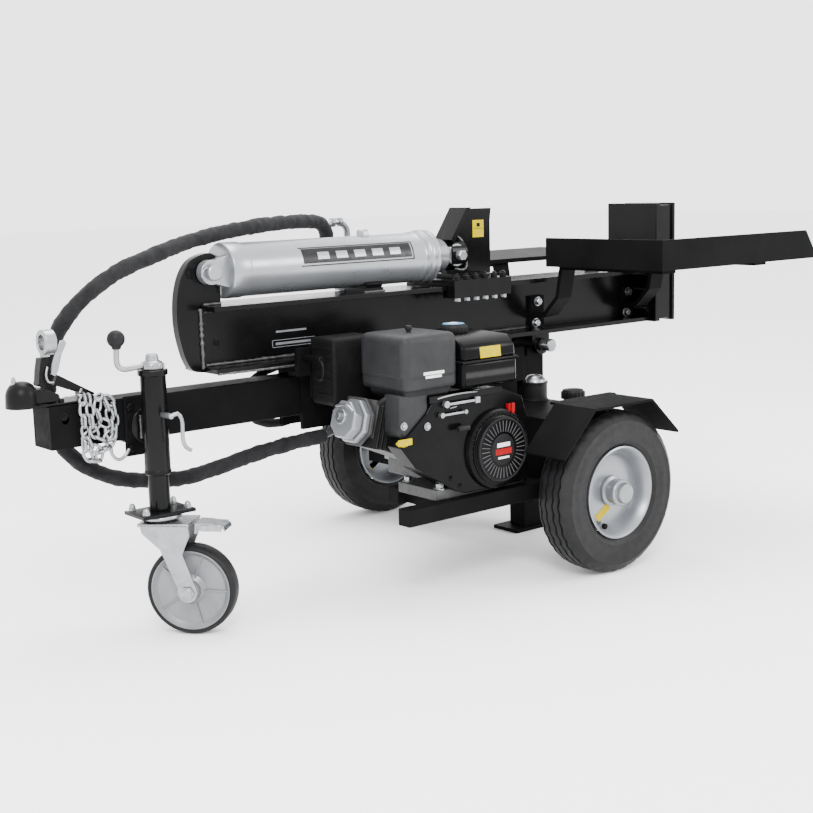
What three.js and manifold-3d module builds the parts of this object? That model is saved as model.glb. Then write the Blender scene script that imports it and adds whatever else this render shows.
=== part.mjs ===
// Towable hydraulic log splitter. Units mm, +Z up, +X along the beam towards the foot plate, -Y the engine side.
import * as THREE from "three";
import Module from "manifold-3d";

const wasm = await Module();
wasm.setup();

// ---- driving dimensions ----
const BEAM = { x0: -861, x1: 650.5, z0: 562, z1: 718, half: 73, flange: 12, web: 10 };
const PIVOT = { x: 215, z: 530, r: 11 };
const CYL = { z: 795, r: 66, x0: -790, x1: -198, glandX: -165, noseX: -112, rodR: 28 };
const LUG = { x: -842, r: 29, in: 16, out: 40, pin: 12 };
const NOSE_HALF = 13;
const FOOT = { x0: 651, x1: 738, half: 95, z0: 560, z1: 910 };
const WEDGE = { x0: -100, x1: 58, top: 915, base: 733.3, half: 12 };
const SLIDE = { x0: -150, x1: 53, half: 98, z0: 687, z1: 733 };
const TABLE = { x0: 172, x1: 784, y0: 112, y1: 520, z: 752, t: 6, lip: 78 };
const TONGUE = { z0: 433, z1: 530, half: 38, x0: -1090, x1: 159 };
const NOSEBOX = { x0: -1265, x1: -1090.3, z0: 438, z1: 532, half: 42 };
const AXLE = { x: 30, z: 207, track: 460 };
const TYRE = { r: 207, rim: 116, half: 55 };
const JACK = { x: -1046, y: -104, r: 28, top: 586, outer: 365, bottom: 282 };
const CASTER = { r: 102, half: 25, trailX: 45, trailY: -50 };
const ENGINE = { x: -271, z: 346, base: 241, y0: -400, pto: -90 };
const TANK = { x0: -80, x1: 158, half: 380, z0: 180, z1: 390 };
const LATCH = { x: -631, z: 582 };
const CAP = { x: -302, y: -262 };
const RECOIL_R = 88;
const HOSE_R = 18;
const RETURN_R = 11;
const GAP = 0.4;

// ---- finishes ----
const FINISH = {
  black: ["#141414", 0.35, 0.3],
  gloss: ["#0d0d0e", 0.25, 0.35],
  silver: ["#b9bbbd", 0.35, 0.8],
  zinc: ["#a9aaa8", 0.4, 0.85],
  rubber: ["#1a1a1a", 0.85, 0.0],
  plastic: ["#1d1d1e", 0.5, 0.0],
  alu: ["#9a9c9d", 0.5, 0.8],
  grey: ["#8d9092", 0.45, 0.6],
  red: ["#b5201c", 0.4, 0.0],
  chrome: ["#d0d2d4", 0.12, 1.0],
  sleeve: ["#1c1c1d", 0.9, 0.0],
};

// ---- geometry helpers ----
function box(x0, x1, y0, y1, z0, z1) {
  const g = new THREE.BoxGeometry(x1 - x0, y1 - y0, z1 - z0);
  g.translate((x0 + x1) / 2, (y0 + y1) / 2, (z0 + z1) / 2);
  return g;
}

// A straight cylinder about "x", "y" or "z", from a to b along its axis, centred on (u, v) in the other two axes.
function rod(axis, a, b, u, v, r, seg = 24, r2 = r) {
  const g = new THREE.CylinderGeometry(r2, r, b - a, seg, 1);
  g.translate(0, (a + b) / 2, 0);
  if (axis === "x") {
    g.rotateZ(-Math.PI / 2);
    g.translate(0, u, v);
  } else if (axis === "y") {
    g.translate(u, 0, v);
  } else {
    g.rotateX(Math.PI / 2);
    g.translate(u, v, 0);
  }
  return g;
}

// A flat outline drawn in two axes and pushed along the third, from a to b.
function prism(axis, points, a, b) {
  const shape = new THREE.Shape(points.map((p) => new THREE.Vector2(p[0], p[1])));
  const g = new THREE.ExtrudeGeometry(shape, { depth: b - a, bevelEnabled: false, curveSegments: 8 });
  g.translate(0, 0, a);
  if (axis === "y") {
    g.applyMatrix4(new THREE.Matrix4().set(1, 0, 0, 0, 0, 0, 1, 0, 0, 1, 0, 0, 0, 0, 0, 1));
    return flip(g);
  }
  if (axis === "x") {
    g.applyMatrix4(new THREE.Matrix4().set(0, 0, 1, 0, 1, 0, 0, 0, 0, 1, 0, 0, 0, 0, 0, 1));
  }
  return g;
}

function flip(g) {
  const p = g.getAttribute("position");
  for (let i = 0; i < p.count; i += 3) {
    const a = [p.getX(i), p.getY(i), p.getZ(i)];
    p.setXYZ(i, p.getX(i + 1), p.getY(i + 1), p.getZ(i + 1));
    p.setXYZ(i + 1, a[0], a[1], a[2]);
  }
  return g;
}

// A turned ring or disc about an axis parallel to Y: profile pairs are (radius, y).
function turnedY(profile, x, z, seg = 40) {
  const g = new THREE.LatheGeometry(profile.map((p) => new THREE.Vector2(p[0], p[1])), seg);
  g.translate(x, 0, z);
  return g;
}

// A round bar along a smooth curve.
function tube(points, r, steps, sides = 10, closed = false) {
  const curve = new THREE.CatmullRomCurve3(points.map((p) => new THREE.Vector3(...p)), closed, "centripetal");
  const ring = [];
  for (let i = 0; i < sides; i++) {
    const t = (i / sides) * Math.PI * 2;
    ring.push(new THREE.Vector2(r * Math.cos(t), r * Math.sin(t)));
  }
  return new THREE.ExtrudeGeometry(new THREE.Shape(ring), { steps, extrudePath: curve, bevelEnabled: false });
}

function arc(cx, cz, r, a0, a1, n) {
  const out = [];
  for (let i = 0; i <= n; i++) {
    const t = ((a0 + ((a1 - a0) * i) / n) * Math.PI) / 180;
    out.push([cx + r * Math.cos(t), cz + r * Math.sin(t)]);
  }
  return out;
}

// ---- joining and cutting ----
function toManifold(g) {
  const flat = g.index ? g.toNonIndexed() : g;
  const p = flat.getAttribute("position");
  const keys = new Map();
  const verts = [];
  const ids = [];
  for (let i = 0; i < p.count; i++) {
    const v = [p.getX(i), p.getY(i), p.getZ(i)];
    const key = v.map((c) => Math.round(c * 1e4)).join(",");
    if (!keys.has(key)) {
      keys.set(key, verts.length / 3);
      verts.push(...v);
    }
    ids.push(keys.get(key));
  }
  const tris = [];
  for (let i = 0; i < ids.length; i += 3) {
    const [a, b, c] = [ids[i], ids[i + 1], ids[i + 2]];
    if (a !== b && b !== c && a !== c) {
      tris.push(a, b, c);
    }
  }
  const mesh = new wasm.Mesh({
    numProp: 3,
    vertProperties: new Float32Array(verts),
    triVerts: new Uint32Array(tris),
  });
  return new wasm.Manifold(mesh);
}

function solid(add, cut = []) {
  let body = toManifold(add[0]);
  for (const g of add.slice(1)) {
    body = body.add(toManifold(g));
  }
  for (const g of cut) {
    body = body.subtract(toManifold(g));
  }
  const m = body.getMesh();
  const g = new THREE.BufferGeometry();
  g.setAttribute("position", new THREE.BufferAttribute(Float32Array.from(m.vertProperties), 3));
  g.setIndex(new THREE.BufferAttribute(Uint32Array.from(m.triVerts), 1));
  return g;
}

const root = new THREE.Group();
root.name = "log_splitter";

function put(name, finish, add, cut = []) {
  const [color, roughness, metalness] = FINISH[finish];
  const material = new THREE.MeshStandardMaterial({ color, roughness, metalness });
  const mesh = new THREE.Mesh(solid(add, cut), material);
  mesh.name = name;
  root.add(mesh);
}

// ---- beam, with the curved nose the cylinder pulls on ----
put("beam", "gloss", [
  box(BEAM.x0, BEAM.x1, -BEAM.half, BEAM.half, BEAM.z0, BEAM.z0 + BEAM.flange),
  box(BEAM.x0, BEAM.x1, -BEAM.half, BEAM.half, BEAM.z1 - BEAM.flange, BEAM.z1),
  box(BEAM.x0, BEAM.x1, -BEAM.web / 2, BEAM.web / 2, BEAM.z0, BEAM.z1),
  box(-400, -340, -40, 40, BEAM.z1 - 1, 728),
  box(PIVOT.x - 28, PIVOT.x + 28, 41, 53, PIVOT.z, BEAM.z0 + 1),
  box(PIVOT.x - 28, PIVOT.x + 28, -53, -41, PIVOT.z, BEAM.z0 + 1),
  rod("y", 41, 53, PIVOT.x, PIVOT.z, 28),
  rod("y", -53, -41, PIVOT.x, PIVOT.z, 28),
], [
  rod("y", -60, 60, -820, 627, 9),
  rod("y", -60, 60, PIVOT.x, PIVOT.z, PIVOT.r + GAP),
]);

const noseOutline = [
  [BEAM.x0 - GAP, BEAM.z0], [-888, 568], [-904, 592], [-916, 630], [-923, 670], [-924, 710], [-919, 752],
  [-906, 792], [-886, 820], [-860, 834], [-826, 838], [-812, 826], [-806, 800],
  [-806, BEAM.z1 + GAP], [BEAM.x0 - GAP, BEAM.z1 + GAP],
];
put("beam_nose", "gloss", [prism("y", noseOutline.reverse(), -NOSE_HALF, NOSE_HALF)], [
  rod("y", -60, 60, LUG.x, CYL.z, LUG.pin + GAP),
]);

put("foot_plate", "gloss", [
  box(FOOT.x0, FOOT.x0 + 20, -FOOT.half, FOOT.half, FOOT.z0, FOOT.z1),
  box(FOOT.x0 + 19, FOOT.x1, -FOOT.half + 6, FOOT.half - 6, FOOT.z0 + 6, FOOT.z1 - 6),
  box(FOOT.x1 - 12, FOOT.x1, -FOOT.half, FOOT.half, FOOT.z0, FOOT.z1),
]);

// ---- hydraulic cylinder ----
put("cylinder_barrel", "silver", [
  rod("x", CYL.x0 + 40, CYL.x1 + 1, 0, CYL.z, CYL.r - 2, 28),
  rod("x", CYL.x0 - 8, CYL.x0 + 44, 0, CYL.z, CYL.r, 28),
  prism("y", [[CYL.x0, CYL.z - 30], [CYL.x0, CYL.z + 30], ...arc(LUG.x, CYL.z, LUG.r, 90, 270, 10)], LUG.in, LUG.out),
  prism("y", [[CYL.x0, CYL.z - 30], [CYL.x0, CYL.z + 30], ...arc(LUG.x, CYL.z, LUG.r, 90, 270, 10)],
    -LUG.out, -LUG.in),
  rod("z", CYL.z, CYL.z + CYL.r + 14, -371, 0, 14, 16),
  rod("x", CYL.x1, CYL.glandX, 0, CYL.z, CYL.r + 4, 28),
  rod("x", CYL.glandX - 1, CYL.noseX, 0, CYL.z, 44, 24),
], [
  rod("y", -80, 80, LUG.x, CYL.z, LUG.pin + GAP),
  rod("x", CYL.glandX - 260, CYL.noseX + 10, 0, CYL.z, CYL.rodR + GAP, 20),
]);
put("cylinder_pin", "zinc", [
  rod("y", -LUG.out - 10, LUG.out + 16, LUG.x, CYL.z, LUG.pin, 20),
  rod("y", -LUG.out - 16, -LUG.out - GAP, LUG.x, CYL.z, 19, 20),
]);
put("piston_rod", "chrome", [
  rod("x", CYL.glandX - 240, -102.5, 0, CYL.z, CYL.rodR, 20),
]);

// ---- wedge and its slide, clamped round the top flange ----
put("wedge", "gloss", [
  prism("y", [
    [WEDGE.x0, WEDGE.base], [WEDGE.x1, WEDGE.base], [WEDGE.x1, 880], [WEDGE.x1 + 5, WEDGE.top],
    [-42, WEDGE.top], [WEDGE.x0, 838],
  ], -WEDGE.half, WEDGE.half),
  prism("y", [[-46, WEDGE.top + 4], [WEDGE.x0 - 2, 836], [-92, 826], [-30, WEDGE.top + 4]], -34, 34),
  rod("x", -102, -50, 0, CYL.z, 42, 28),
  box(-100, 20, -34, 34, WEDGE.base, 746),
]);
put("wedge_slide", "gloss", [
  box(SLIDE.x0, SLIDE.x1, -SLIDE.half, SLIDE.half, BEAM.z1 + GAP, SLIDE.z1),
  box(SLIDE.x0, SLIDE.x1, BEAM.half + GAP, SLIDE.half, SLIDE.z0, SLIDE.z1),
  box(SLIDE.x0, SLIDE.x1, -SLIDE.half, -BEAM.half - GAP, SLIDE.z0, SLIDE.z1),
  box(SLIDE.x0, SLIDE.x1, 52, SLIDE.half, SLIDE.z0, BEAM.z1 - BEAM.flange - GAP),
  box(SLIDE.x0, SLIDE.x1, -SLIDE.half, -52, SLIDE.z0, BEAM.z1 - BEAM.flange - GAP),
  ...[0, 1, 2, 3, 4, 5].flatMap((i) => [
    rod("z", SLIDE.z0 - 9, SLIDE.z1 + 11, SLIDE.x0 + 18 + i * 33, -87, 8, 6),
    rod("z", SLIDE.z0 - 9, SLIDE.z1 + 11, SLIDE.x0 + 18 + i * 33, 87, 8, 6),
  ]),
]);

// ---- log tables on bent arms bolted to the web ----
function armOutline(s) {
  const web = s * (BEAM.web / 2 + GAP);
  const pts = [
    [web, 580], [web, 664], [web + s * 10, 664], [web + s * 10, 612], [s * 66, 622], [s * 112, 668],
    [s * 128, TABLE.z + 1], [s * 490, TABLE.z + 1], [s * 490, TABLE.z - 10], [s * 139, TABLE.z - 10],
    [s * 122, 662], [s * 72, 611], [web + s * 10, 600], [web + s * 10, 580],
  ];
  return s > 0 ? pts : pts.slice().reverse();
}

function arms(s) {
  return [208, 590].flatMap((x) => [
    prism("x", armOutline(s), x, x + 52),
    rod("y", s > 0 ? 14 : -26, s > 0 ? 26 : -14, x + 26, 648, 9, 6),
    rod("y", s > 0 ? 14 : -26, s > 0 ? 26 : -14, x + 18, 588, 9, 6),
  ]);
}
put("table_near", "gloss", [
  box(TABLE.x0, TABLE.x1, -TABLE.y1, -TABLE.y0, TABLE.z, TABLE.z + TABLE.t),
  box(TABLE.x0, TABLE.x0 + TABLE.t, -TABLE.y1, -TABLE.y0, TABLE.z, TABLE.z + TABLE.lip),
  prism("y", [
    [TABLE.x0, TABLE.z], [TABLE.x1 + 40, TABLE.z], [TABLE.x1 + 40, TABLE.z + 22],
    [TABLE.x1, TABLE.z + TABLE.lip], [TABLE.x0, TABLE.z + TABLE.lip],
  ], -TABLE.y1, -TABLE.y1 + TABLE.t),
  ...arms(-1),
]);
put("table_far", "gloss", [
  box(TABLE.x0, TABLE.x1, TABLE.y0, TABLE.y1, TABLE.z, TABLE.z + 12),
  ...arms(1),
]);

// ---- control valve on the far side ----
put("control_valve", "grey", [
  box(-430, -250, 84, 148, 748, 812),
  box(-400, -280, BEAM.half + 2, 90, 724, 760),
  box(-400, -280, 46, 90, BEAM.z1 + GAP, 736),
  rod("x", -250.5, -218, 116, 780, 20, 16),
  rod("z", 811, 834, -400, 116, 15, 16),
  rod("z", 811, 834, -300, 116, 15, 16),
], [box(-410, -270, 0, 66.4, 724, 860)]);
put("valve_lever", "plastic", [
  box(-204, -186, 106, 128, 768, 792),
  tube([[-195, 124, 780], [-195, 160, 790], [-195, 196, 806], [-195, 226, 816]], 7, 6, 8),
  rod("y", 220, 262, -195, 818, 14, 12),
]);

// ---- running gear frame ----
put("tongue_tube", "gloss", [
  box(TONGUE.x0, TONGUE.x1, -TONGUE.half, TONGUE.half, TONGUE.z0, TONGUE.z1),
  box(-50, 130, -TONGUE.half, TONGUE.half, TANK.z1 + GAP, TONGUE.z0 + 1),
]);
put("tongue_front", "gloss", [
  box(NOSEBOX.x0, NOSEBOX.x1, -NOSEBOX.half, NOSEBOX.half, NOSEBOX.z0, NOSEBOX.z1),
], [
  box(NOSEBOX.x0 - 5, NOSEBOX.x0 + 120, -NOSEBOX.half + 6, NOSEBOX.half - 6, NOSEBOX.z0 + 6, NOSEBOX.z1 - 6),
  rod("y", -50, 50, -1228, 500, 9),
  rod("y", -50, 50, -1158, 500, 9),
]);
put("pivot_post", "gloss", [
  box(160, 240, -30, 30, 10, 500),
  box(178, 238, -30, 30, 499, 520),
  rod("y", -38, 38, PIVOT.x, PIVOT.z, 24),
  box(112, 243, -48, 48, 0, 10),
], [rod("y", -60, 60, PIVOT.x, PIVOT.z, PIVOT.r + GAP)]);
put("pivot_pin", "zinc", [
  rod("y", -84, 66, PIVOT.x, PIVOT.z, PIVOT.r),
  rod("y", -92, -53 - GAP, PIVOT.x, PIVOT.z, 18),
]);
put("beam_rest", "gloss", [
  box(-612, -520, -50, 50, TONGUE.z1 + GAP, BEAM.z0 - GAP),
  box(-612, -520, 38 + GAP, 50, 398, 560),
  box(-612, -520, -50, -38 - GAP, 398, 560),
  box(-650, -610, -92, -49, 536, 548),
  box(-650, -613, -92, -79, 536, 604),
], [rod("y", -120, -60, LATCH.x, LATCH.z, 7 + GAP, 16)]);
put("beam_latch_pin", "zinc", [
  rod("y", -164, -76, LATCH.x, LATCH.z, 7, 16),
  tube([[LATCH.x, -156, LATCH.z], [LATCH.x, -168, LATCH.z - 14], [LATCH.x, -166, LATCH.z - 44],
    [LATCH.x, -154, LATCH.z - 50]], 4, 8, 8),
]);
const rails = [-388, -188];
put("engine_rails", "gloss", [
  box(-560, TANK.x0 - GAP, rails[0], rails[0] + 40, 201, 241),
  box(-430, TANK.x0 - GAP, rails[1], rails[1] + 40, 201, 241),
  box(-400, -360, rails[0], rails[1] + 40, 201, 241),
  box(-150, -110, -388, 50, 201, 241),
  box(-150, -110, -20, 20, 240, TONGUE.z0 - GAP),
]);
put("reservoir", "gloss", [
  box(TANK.x0, TANK.x1, -TANK.half, TANK.half, TANK.z0, TANK.z1),
  rod("y", -TANK.half - 70, TANK.half + 70, AXLE.x, AXLE.z, 16),
]);
put("filler_cap", "plastic", [
  rod("z", TANK.z1 + GAP, 410, 118, -262, 24, 20),
  rod("z", 409, 436, 118, -262, 30, 20),
]);
put("return_filter", "plastic", [
  rod("z", TANK.z1 + GAP, 440, 118, -120, 36, 24),
  rod("z", 439, 462, 118, -120, 30, 24, 14),
]);

function fenderOutline() {
  const c = AXLE.x - 20;
  return [
    [c - 208, 326], [c - 102, 432], [c + 104, 432], [c + 206, 338], [c + 208, 344],
    [c + 107, 438], [c - 105, 438], [c - 212, 330],
  ].reverse();
}
for (const s of [-1, 1]) {
  const [y0, y1] = s < 0 ? [-538, -402] : [402, 538];
  const [t0, t1] = s < 0 ? [-384.5, -380 - GAP] : [380 + GAP, 384.5];
  const [w0, w1] = s < 0 ? [-403, -380 - GAP] : [380 + GAP, 403];
  put(s < 0 ? "fender_near" : "fender_far", "gloss", [
    prism("y", fenderOutline(), y0, y1),
    box(-40, 80, t0, t1, 330, 434),
    box(-90, 130, w0, w1, 432, 438),
  ]);
}

// ---- wheels ----
const tyreProfile = [
  [118, -44], [134, -53], [168, -55], [196, -46], [207, -26], [207, 26], [196, 46], [168, 55],
  [134, 53], [118, 44], [118, -44],
];
const rimProfile = [
  [117.4, -48], [117.4, 48], [102, 44], [98, 8], [34, 6], [20, 30], [20, -58],
  [34, -56], [42, -24], [98, -8], [104, -48], [117.4, -48],
];
for (const s of [-1, 1]) {
  const side = s < 0 ? "near" : "far";
  const y = s * AXLE.track;
  const shift = (list, k) => list.map(([r, v]) => [r, y + k * v]);
  const order = (list) => (s < 0 ? list : list.slice().reverse());
  put(`tyre_${side}`, "rubber", [turnedY(shift(tyreProfile, 1), AXLE.x, AXLE.z, 30)]);
  put(`wheel_${side}`, "silver", [
    turnedY(order(shift(rimProfile.map(([r, v]) => [Math.min(r, 117.4), v]), s < 0 ? 1 : -1)), AXLE.x, AXLE.z, 30),
    rod("y", s < 0 ? y - 70 : y + 56, s < 0 ? y - 56 : y + 70, AXLE.x, AXLE.z, 26),
  ], [rod("y", y - 60, y + 60, AXLE.x, AXLE.z, 16 + GAP)]);
}

// ---- coupler with its lever and loop, and the safety chains ----
put("coupler", "gloss", [
  box(-1320, -1130, -36, 36, 532 + GAP, 540),
  box(-1290, -1225, -28, 28, 532 + GAP, 572),
  rod("z", 532 + GAP, 566, -1306, 0, 36, 28),
  rod("z", 565, 590, -1306, 0, 36, 28, 18),
], [rod("z", 520, 572, -1306, 0, 26)]);
put("coupler_latch", "gloss", [
  rod("y", -16, 16, -1266, 580, 6, 12),
  prism("y", [[-1271, 580], [-1258, 580], [-1244, 636], [-1262, 636]], -14, 14),
]);
put("coupler_loop", "zinc", [
  box(-1256, -1238, -9, 9, 636 + GAP, 656),
  rod("x", -1254, -1228, 0, 668, 28, 24),
], [
  rod("x", -1260, -1220, 0, 668, 17, 20),
]);
for (const s of [-1, 1]) {
  const y = s * 58;
  const loop = [[-1232, y, 536], [-1222, y, 480], [-1190, y, 424], [-1156, y, 438], [-1150, y, 492], [-1172, y, 528]];
  put(s < 0 ? "safety_chain_near" : "safety_chain_far", "zinc", [tube(loop, 9, 14, 6, true)]);
}

// ---- jack with its swivelling caster ----
put("jack_mount", "gloss", [
  box(-1092, -1000, -50, -42 - GAP, 400, 536),
  rod("y", -62, -49, JACK.x, 470, 40, 20),
], [box(-1095, -990, -42 - GAP, 0, 390, 540), rod("y", -70, -30, JACK.x, 470, 10 + GAP)]);
put("jack_outer", "gloss", [
  rod("z", JACK.outer, JACK.top, JACK.x, JACK.y, JACK.r, 20),
  rod("z", JACK.top - 1, JACK.top + 12, JACK.x, JACK.y, 33, 20),
  box(JACK.x - 24, JACK.x + 24, JACK.y + 14, -68, 440, 500),
  rod("y", -70, -62 - GAP, JACK.x, 470, 40, 20),
  rod("y", -70, -38, JACK.x, 470, 10, 20),
], [
  rod("z", JACK.outer - 5, JACK.top - 12, JACK.x, JACK.y, 24 + GAP, 20),
]);
put("jack_pin", "zinc", [
  rod("y", JACK.y - 72, JACK.y - 29, JACK.x + 2, 500, 6, 16),
  tube([[JACK.x + 2, JACK.y - 70, 500], [JACK.x + 22, JACK.y - 74, 496], [JACK.x + 24, JACK.y - 74, 440],
    [JACK.x + 44, JACK.y - 74, 420]], 5, 12, 8),
]);
put("jack_inner", "zinc", [
  rod("z", JACK.bottom, JACK.top - 106, JACK.x, JACK.y, 24, 20),
  box(JACK.x - 66, JACK.x + 66, JACK.y - 45, JACK.y + 45, JACK.bottom - 8, JACK.bottom),
]);
put("jack_crank", "gloss", [
  rod("z", JACK.top + 12 + GAP, 632, JACK.x, JACK.y, 20, 24),
  box(JACK.x - 92, JACK.x + 10, JACK.y - 10, JACK.y + 10, 600, 612),
  rod("z", 611, 660, JACK.x - 84, JACK.y, 7, 16),
  new THREE.SphereGeometry(20, 14, 8).translate(JACK.x - 84, JACK.y, 672),
]);
const castX = JACK.x + CASTER.trailX;
const castY = JACK.y + CASTER.trailY;
const yaw = Math.atan2(CASTER.trailY, CASTER.trailX);
function caster(g) {
  g.rotateZ(yaw);
  g.translate(JACK.x, JACK.y, 0);
  return g;
}
const trail = Math.hypot(CASTER.trailX, CASTER.trailY);
put("caster_fork", "zinc", [
  rod("z", 262, JACK.bottom - 8 - GAP, 0, 0, 40, 28),
  box(-40, 78, -46, 46, 240, 263),
  ...[-1, 1].map((s) => prism("y", [
    [-30, 241], [70, 241], [trail + 18, 102], [trail + 8, 84], [trail - 8, 84], [trail - 18, 102],
  ], s < 0 ? -46 : 40, s < 0 ? -40 : 46)),
  rod("y", -52, 52, trail, CASTER.r, 8, 16),
].map(caster));
put("caster_wheel", "rubber", [turnedY([
  [8 + GAP, -36], [22, -36], [24, -18], [76, -18], [80, -25], [98, -22], [102, -12], [102, 12],
  [98, 22], [80, 25], [76, 18], [24, 18], [22, 36], [8 + GAP, 36], [8 + GAP, -36],
], trail, CASTER.r, 26)].map(caster));
put("caster_brake", "zinc", [
  box(84, 89, -30, 30, 232, 262),
  prism("y", [[85, 240], [89, 258], [152, 246], [154, 238]], -30, 30),
].map(caster));

// ---- engine ----
const CX = ENGINE.x;
const CZ = ENGINE.z;
put("engine_block", "alu", [
  box(CX - 180, CX + 110, -360, -215, ENGINE.base + GAP, ENGINE.base + 26),
  box(CX - 110, CX + 95, -320, ENGINE.pto, ENGINE.base + 20, CZ + 110),
  prism("y", [[CX - 90, CZ - 60], [CX - 90, CZ + 90], [CX - 300, CZ + 145], [CX - 325, CZ + 40]], -305, -180),
  rod("y", ENGINE.pto - 1, ENGINE.pto + 14, CX, CZ, 60, 28),
]);
put("rocker_cover", "silver", [
  prism("y", [
    [CX - 301, CZ + 146], [CX - 360, CZ + 138], [CX - 372, CZ + 126], [CX - 384, CZ + 52], [CX - 376, CZ + 40],
    [CX - 326, CZ + 36],
  ].reverse(), -300, -185),
], [prism("y", [[CX - 90, CZ - 60], [CX - 90, CZ + 90], [CX - 300.4, CZ + 145.6], [CX - 325.8, CZ + 39]], -305, -180)]);
put("fan_shroud", "plastic", [
  prism("y", [
    [CX + 104, CZ - 96], [CX + 112, CZ + 40], [CX + 90, CZ + 118], [CX + 20, CZ + 146], [CX - 190, CZ + 146],
    [CX - 218, CZ + 112], [CX - 290, CZ + 56], [CX - 296, CZ + 40], [CX - 253, CZ - 13], [CX - 136, CZ - 84],
    [CX - 100, CZ - 96],
  ].reverse(), -374, -320 - GAP),
  rod("y", ENGINE.y0 + 8, -373, CX, CZ, RECOIL_R, 32),
  rod("y", ENGINE.y0, ENGINE.y0 + 9, CX, CZ, RECOIL_R - 12, 32),
], [box(CX - 181, CX + 111, -361, -89, ENGINE.base, ENGINE.base + 27)]);
put("recoil_grip", "plastic", [
  box(CX - 132, CX - 104, ENGINE.y0 - 4, -376, CZ + 60, CZ + 74),
]);
put("fuel_tank", "gloss", [
  prism("x", [[-390, 500], [-390, 590], [-366, 622], [-176, 628], [-152, 606], [-152, 500]].reverse(), -388, -210),
], [rod("z", 590, 700, CAP.x, CAP.y, 24.4, 24)]);
put("fuel_cap", "plastic", [
  rod("z", 610, 630, CAP.x, CAP.y, 24, 24),
  rod("z", 629, 644, CAP.x, CAP.y, 34, 24),
]);
put("air_cleaner", "plastic", [
  prism("x", [[-380, 520], [-380, 622], [-364, 646], [-236, 646], [-222, 626], [-222, 520]].reverse(), -556, -390),
  box(-544, -420, -350, -310, 494, 521),
  rod("z", 645, 659, -480, -305, 9, 20),
]);
put("muffler", "gloss", [
  box(-606, -470, -178, -84, 466, 628),
  box(-560, -500, -178, -120, 430, 467),
]);
put("throttle_lever", "zinc", [
  box(-440, -332, -387, -380, 470, 478),
  box(-446, -424, -387, -374 - GAP, 465, 483),
]);
put("choke_lever", "zinc", [
  box(-452, -372, -387, -380, 446, 454),
  box(-458, -440, -387, -374 - GAP, 443, 457),
]);
put("engine_switch", "red", [
  box(CX + 34, CX + 56, -386, -374 - GAP, CZ + 84, CZ + 106),
]);
put("pump", "grey", [
  box(CX - 66, CX + 66, ENGINE.pto + 14 + GAP, -20, CZ - 66, CZ + 66),
  rod("y", -21, 96, CX, CZ, 52, 28),
  rod("x", CX - 76, CX, 40, CZ, 20, 16),
]);

// ---- hoses ----
put("hose_upper", "sleeve", [tube([
  [-400, 116, 836], [-402, 114, 866], [-424, 106, 890], [-480, 88, 898], [-560, 70, 898], [-660, 50, 893],
  [-780, 34, 880], [-880, 22, 862], [-984, 12, 833], [-1050, 12, 810], [-1104, 16, 780], [-1160, 34, 730],
  [-1190, 60, 673], [-1202, 78, 615], [-1204, 90, 543],
], HOSE_R, 32, 8)]);
put("hose_lower", "sleeve", [tube([
  [-1204, 90.4, 537.5], [-1196, 94, 470], [-1172, 86, 408], [-1138, 64, 370], [-1076, 36, 337], [-942, 6, 318],
  [-833, -4, 329], [-744, -14, 347], [-643, -38, 366], [-556, -66, 378],
], HOSE_R, 34, 8)]);

put("hose_return", "sleeve", [tube([
  [-524, 64, 547], [-580, 63, 547], [-640, 62, 536], [-676, 62, 518], [-696, 62, 488], [-698, 62, 456],
  [-684, 62, 426], [-650, 62, 407], [-600, 62, 401], [-548, 62, 409], [-500, 62, 420], [-440, 60, 412],
  [-400, 52, 378], [-378, 44, 354], [-360, 41, 347],
], RETURN_R, 34, 8)]);

// ---- origin: middle of the footprint, on the ground ----
const bounds = new THREE.Box3();
for (const mesh of root.children) {
  if (!mesh.name.startsWith("hose_")) {
    mesh.geometry.computeBoundingBox();
    bounds.union(mesh.geometry.boundingBox);
  }
}
const mid = bounds.getCenter(new THREE.Vector3());
for (const mesh of root.children) {
  mesh.geometry.translate(-mid.x, -mid.y, -bounds.min.z);
}

export default root;
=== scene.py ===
"""Towable hydraulic log splitter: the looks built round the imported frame.

Shapes are given in mm and placed from the frame. +X runs to the foot plate and -Y to the engine's side.
"""
import math

import bmesh
import bpy
from mathutils import Matrix, Vector, noise


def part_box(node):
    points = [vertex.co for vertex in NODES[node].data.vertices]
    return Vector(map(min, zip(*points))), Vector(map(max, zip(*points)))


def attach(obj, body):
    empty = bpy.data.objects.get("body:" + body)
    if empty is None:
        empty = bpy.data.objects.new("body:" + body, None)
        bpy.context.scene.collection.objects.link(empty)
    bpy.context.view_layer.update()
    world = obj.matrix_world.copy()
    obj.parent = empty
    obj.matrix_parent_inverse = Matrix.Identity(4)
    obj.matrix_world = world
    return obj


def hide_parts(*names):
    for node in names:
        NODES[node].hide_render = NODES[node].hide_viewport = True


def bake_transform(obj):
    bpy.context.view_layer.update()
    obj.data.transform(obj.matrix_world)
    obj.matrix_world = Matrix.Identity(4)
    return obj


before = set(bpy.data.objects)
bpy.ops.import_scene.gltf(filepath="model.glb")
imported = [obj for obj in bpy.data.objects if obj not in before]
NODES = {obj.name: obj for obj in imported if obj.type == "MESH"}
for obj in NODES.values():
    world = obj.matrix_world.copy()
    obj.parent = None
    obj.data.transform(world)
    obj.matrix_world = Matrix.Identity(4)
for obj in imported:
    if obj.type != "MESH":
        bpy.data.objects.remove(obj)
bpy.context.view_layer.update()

# Shapes are written from a datum on the centre line, which the beam's left end fixes.
BEAM_LEFT = -861
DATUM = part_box("beam")[0][0] * 1000 - BEAM_LEFT

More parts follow.
